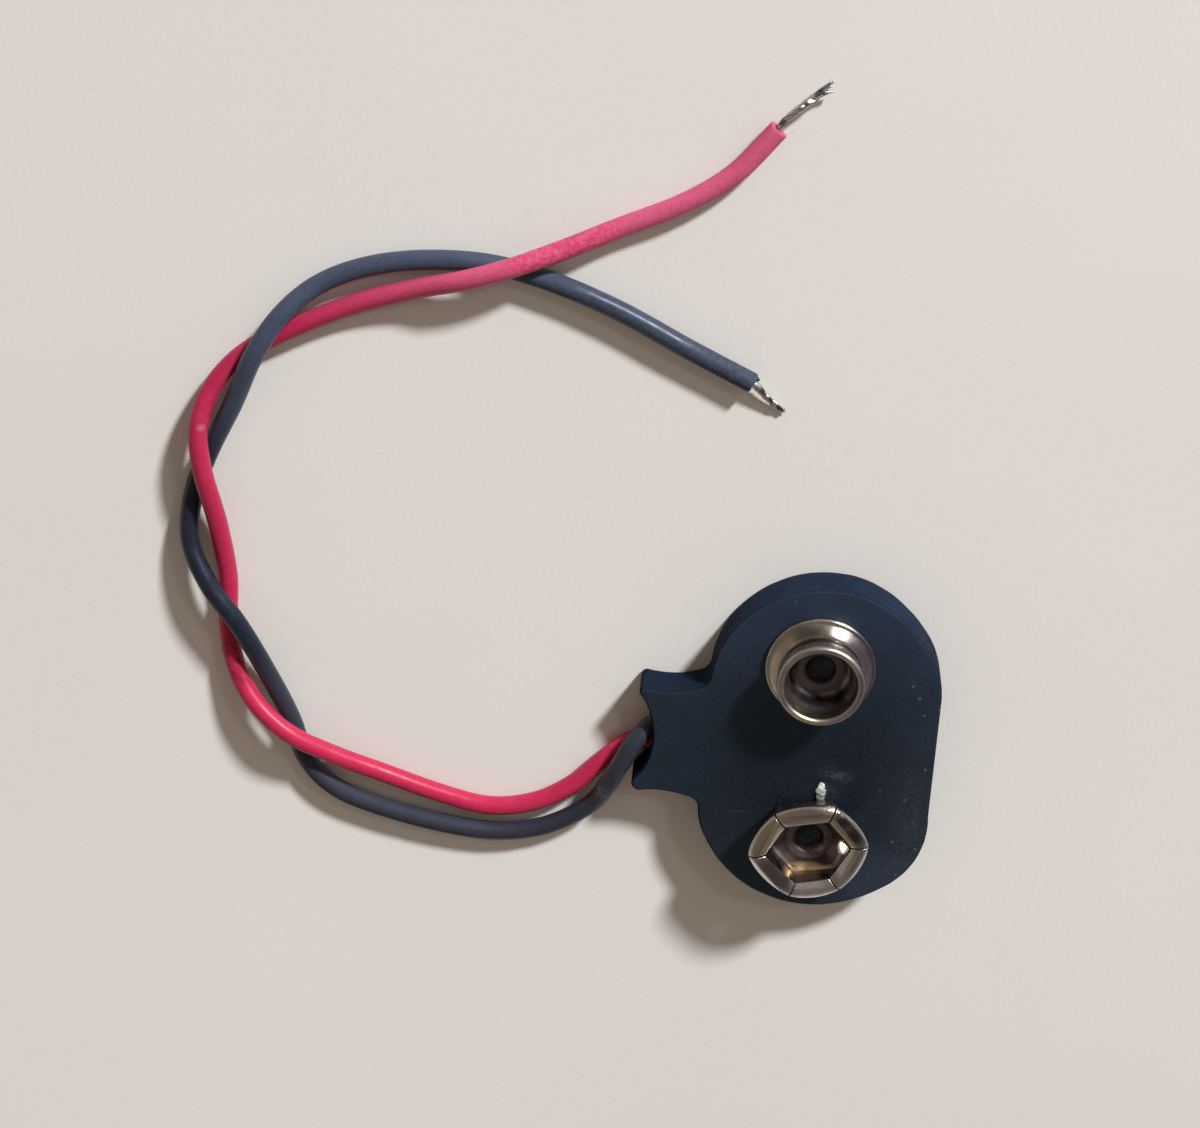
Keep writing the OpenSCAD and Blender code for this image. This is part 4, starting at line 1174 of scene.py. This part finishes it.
# Table, world and light
def table():
    half_side, z = 1.5, -0.00002
    corners = [(-half_side, -half_side, z), (half_side, -half_side, z), (half_side, half_side, z),
               (-half_side, half_side, z)]
    mesh = bpy.data.meshes.new("table_top")
    mesh.from_pydata(corners, [], [(0, 1, 2, 3)])
    ob = bpy.data.objects.new("table_top", mesh)
    scene.collection.objects.link(ob)
    n = Surface("pale_table")
    tooth = n.noise(2600, 4, 0.6)
    cloud = n.ramp(n.noise(28, 4, 0.6), (0.3, 0.0), (0.7, 1.0))
    base = n.mix(cloud, (0.690, 0.690, 0.672), (0.718, 0.716, 0.706))
    # Paler towards negative X and Y: painted light
    base = n.over(base, (0.755, 0.752, 0.742), n.ease(n.axis("X"), 0.005, -0.045),
                  n.ease(n.axis("Y"), 0.015, -0.025), 0.75)
    base = n.over(base, (0.62, 0.61, 0.59), n.ramp(tooth, (0.35, 0.0), (0.75, 1.0)), 0.10)
    paint(ob, n.finish(Base_Color=base, Roughness=0.7, Normal=n.bump(tooth, 0.25, 0.00003),
                       Specular_IOR_Level=0.25))


# Tones of the room that shiny surfaces see, from below to overhead and from left to right
ROOM_HEIGHT = [(0.0, (0.12, 0.1, 0.09)), (0.5, (0.42, 0.385, 0.35)), (0.6, (0.6, 0.56, 0.52)),
               (0.72, (0.3, 0.275, 0.25)), (0.9, (0.2, 0.183, 0.17)), (0.96, (0.25, 0.23, 0.215)),
               (1.0, (0.25, 0.23, 0.22))]
ROOM_ACROSS = [(0.0, (1.0, 0.94, 0.84)), (0.35, (0.95, 0.92, 0.88)), (0.6, (0.78, 0.75, 0.77)),
               (1.0, (0.6, 0.56, 0.62))]
AMBIENT = (0.27, 0.21, 0.168)


def make_world():
    """Warm light from all round; shiny surfaces see a room that is light on the left and dark overhead."""
    world = bpy.data.worlds.new("studio")
    world.use_nodes = True
    scene.world = world
    n = Nodes(world.node_tree, "Generated")
    ambient = n.tree.nodes["Background"]
    n.put(ambient.inputs["Color"], AMBIENT)
    n.put(ambient.inputs["Strength"], 1.0)
    height = n.ramp(n.math("MULTIPLY_ADD", n.axis("Z"), 0.5, 0.5), *ROOM_HEIGHT)
    across = n.ramp(n.math("MULTIPLY_ADD", n.axis("X"), 0.5, 0.5), *ROOM_ACROSS)
    room = n.node("ShaderNodeBackground", {"Color": n.mix(1.0, height, across, "MULTIPLY")})
    glossy = n.node("ShaderNodeLightPath", {}).outputs["Is Glossy Ray"]
    seen = n.node("ShaderNodeMixShader", {"Fac": glossy, 1: ambient.outputs[0], 2: room.outputs[0]})
    n.put(n.tree.nodes["World Output"].inputs["Surface"], seen.outputs[0])


# Lamps: name, azimuth and elevation in degrees, distance, spread in radians, level and colour
LAMPS = [("key", 55, 28, 1.5, 0.11, 0.69, (1.0, 1.0, 0.99)),
         ("accent", 42, 44, 1.2, 0.1, 0.035, (1.0, 0.97, 0.9))]
LAMP_AIM = Vector((-0.012, 0.012, 0.0))


def lamp(name, azimuth, elevation, distance, spread, level, colour):
    """A round lamp, spread radians wide as seen from the part, that lights a white table up to level."""
    a, e = math.radians(azimuth), math.radians(elevation)
    way = Vector((math.cos(a) * math.cos(e), math.sin(a) * math.cos(e), math.sin(e)))
    data = bpy.data.lights.new(name, "AREA")
    data.shape = "DISK"
    data.size = spread * distance
    data.energy = level * math.pi ** 2 * distance ** 2 / math.sin(e)
    data.color = colour
    ob = bpy.data.objects.new(name, data)
    ob.location = LAMP_AIM + way * distance
    ob.rotation_euler = way.to_track_quat("Z", "Y").to_euler()
    scene.collection.objects.link(ob)


table()
make_world()
for one in LAMPS:
    lamp(*one)

scene.view_settings.view_transform = "Standard"
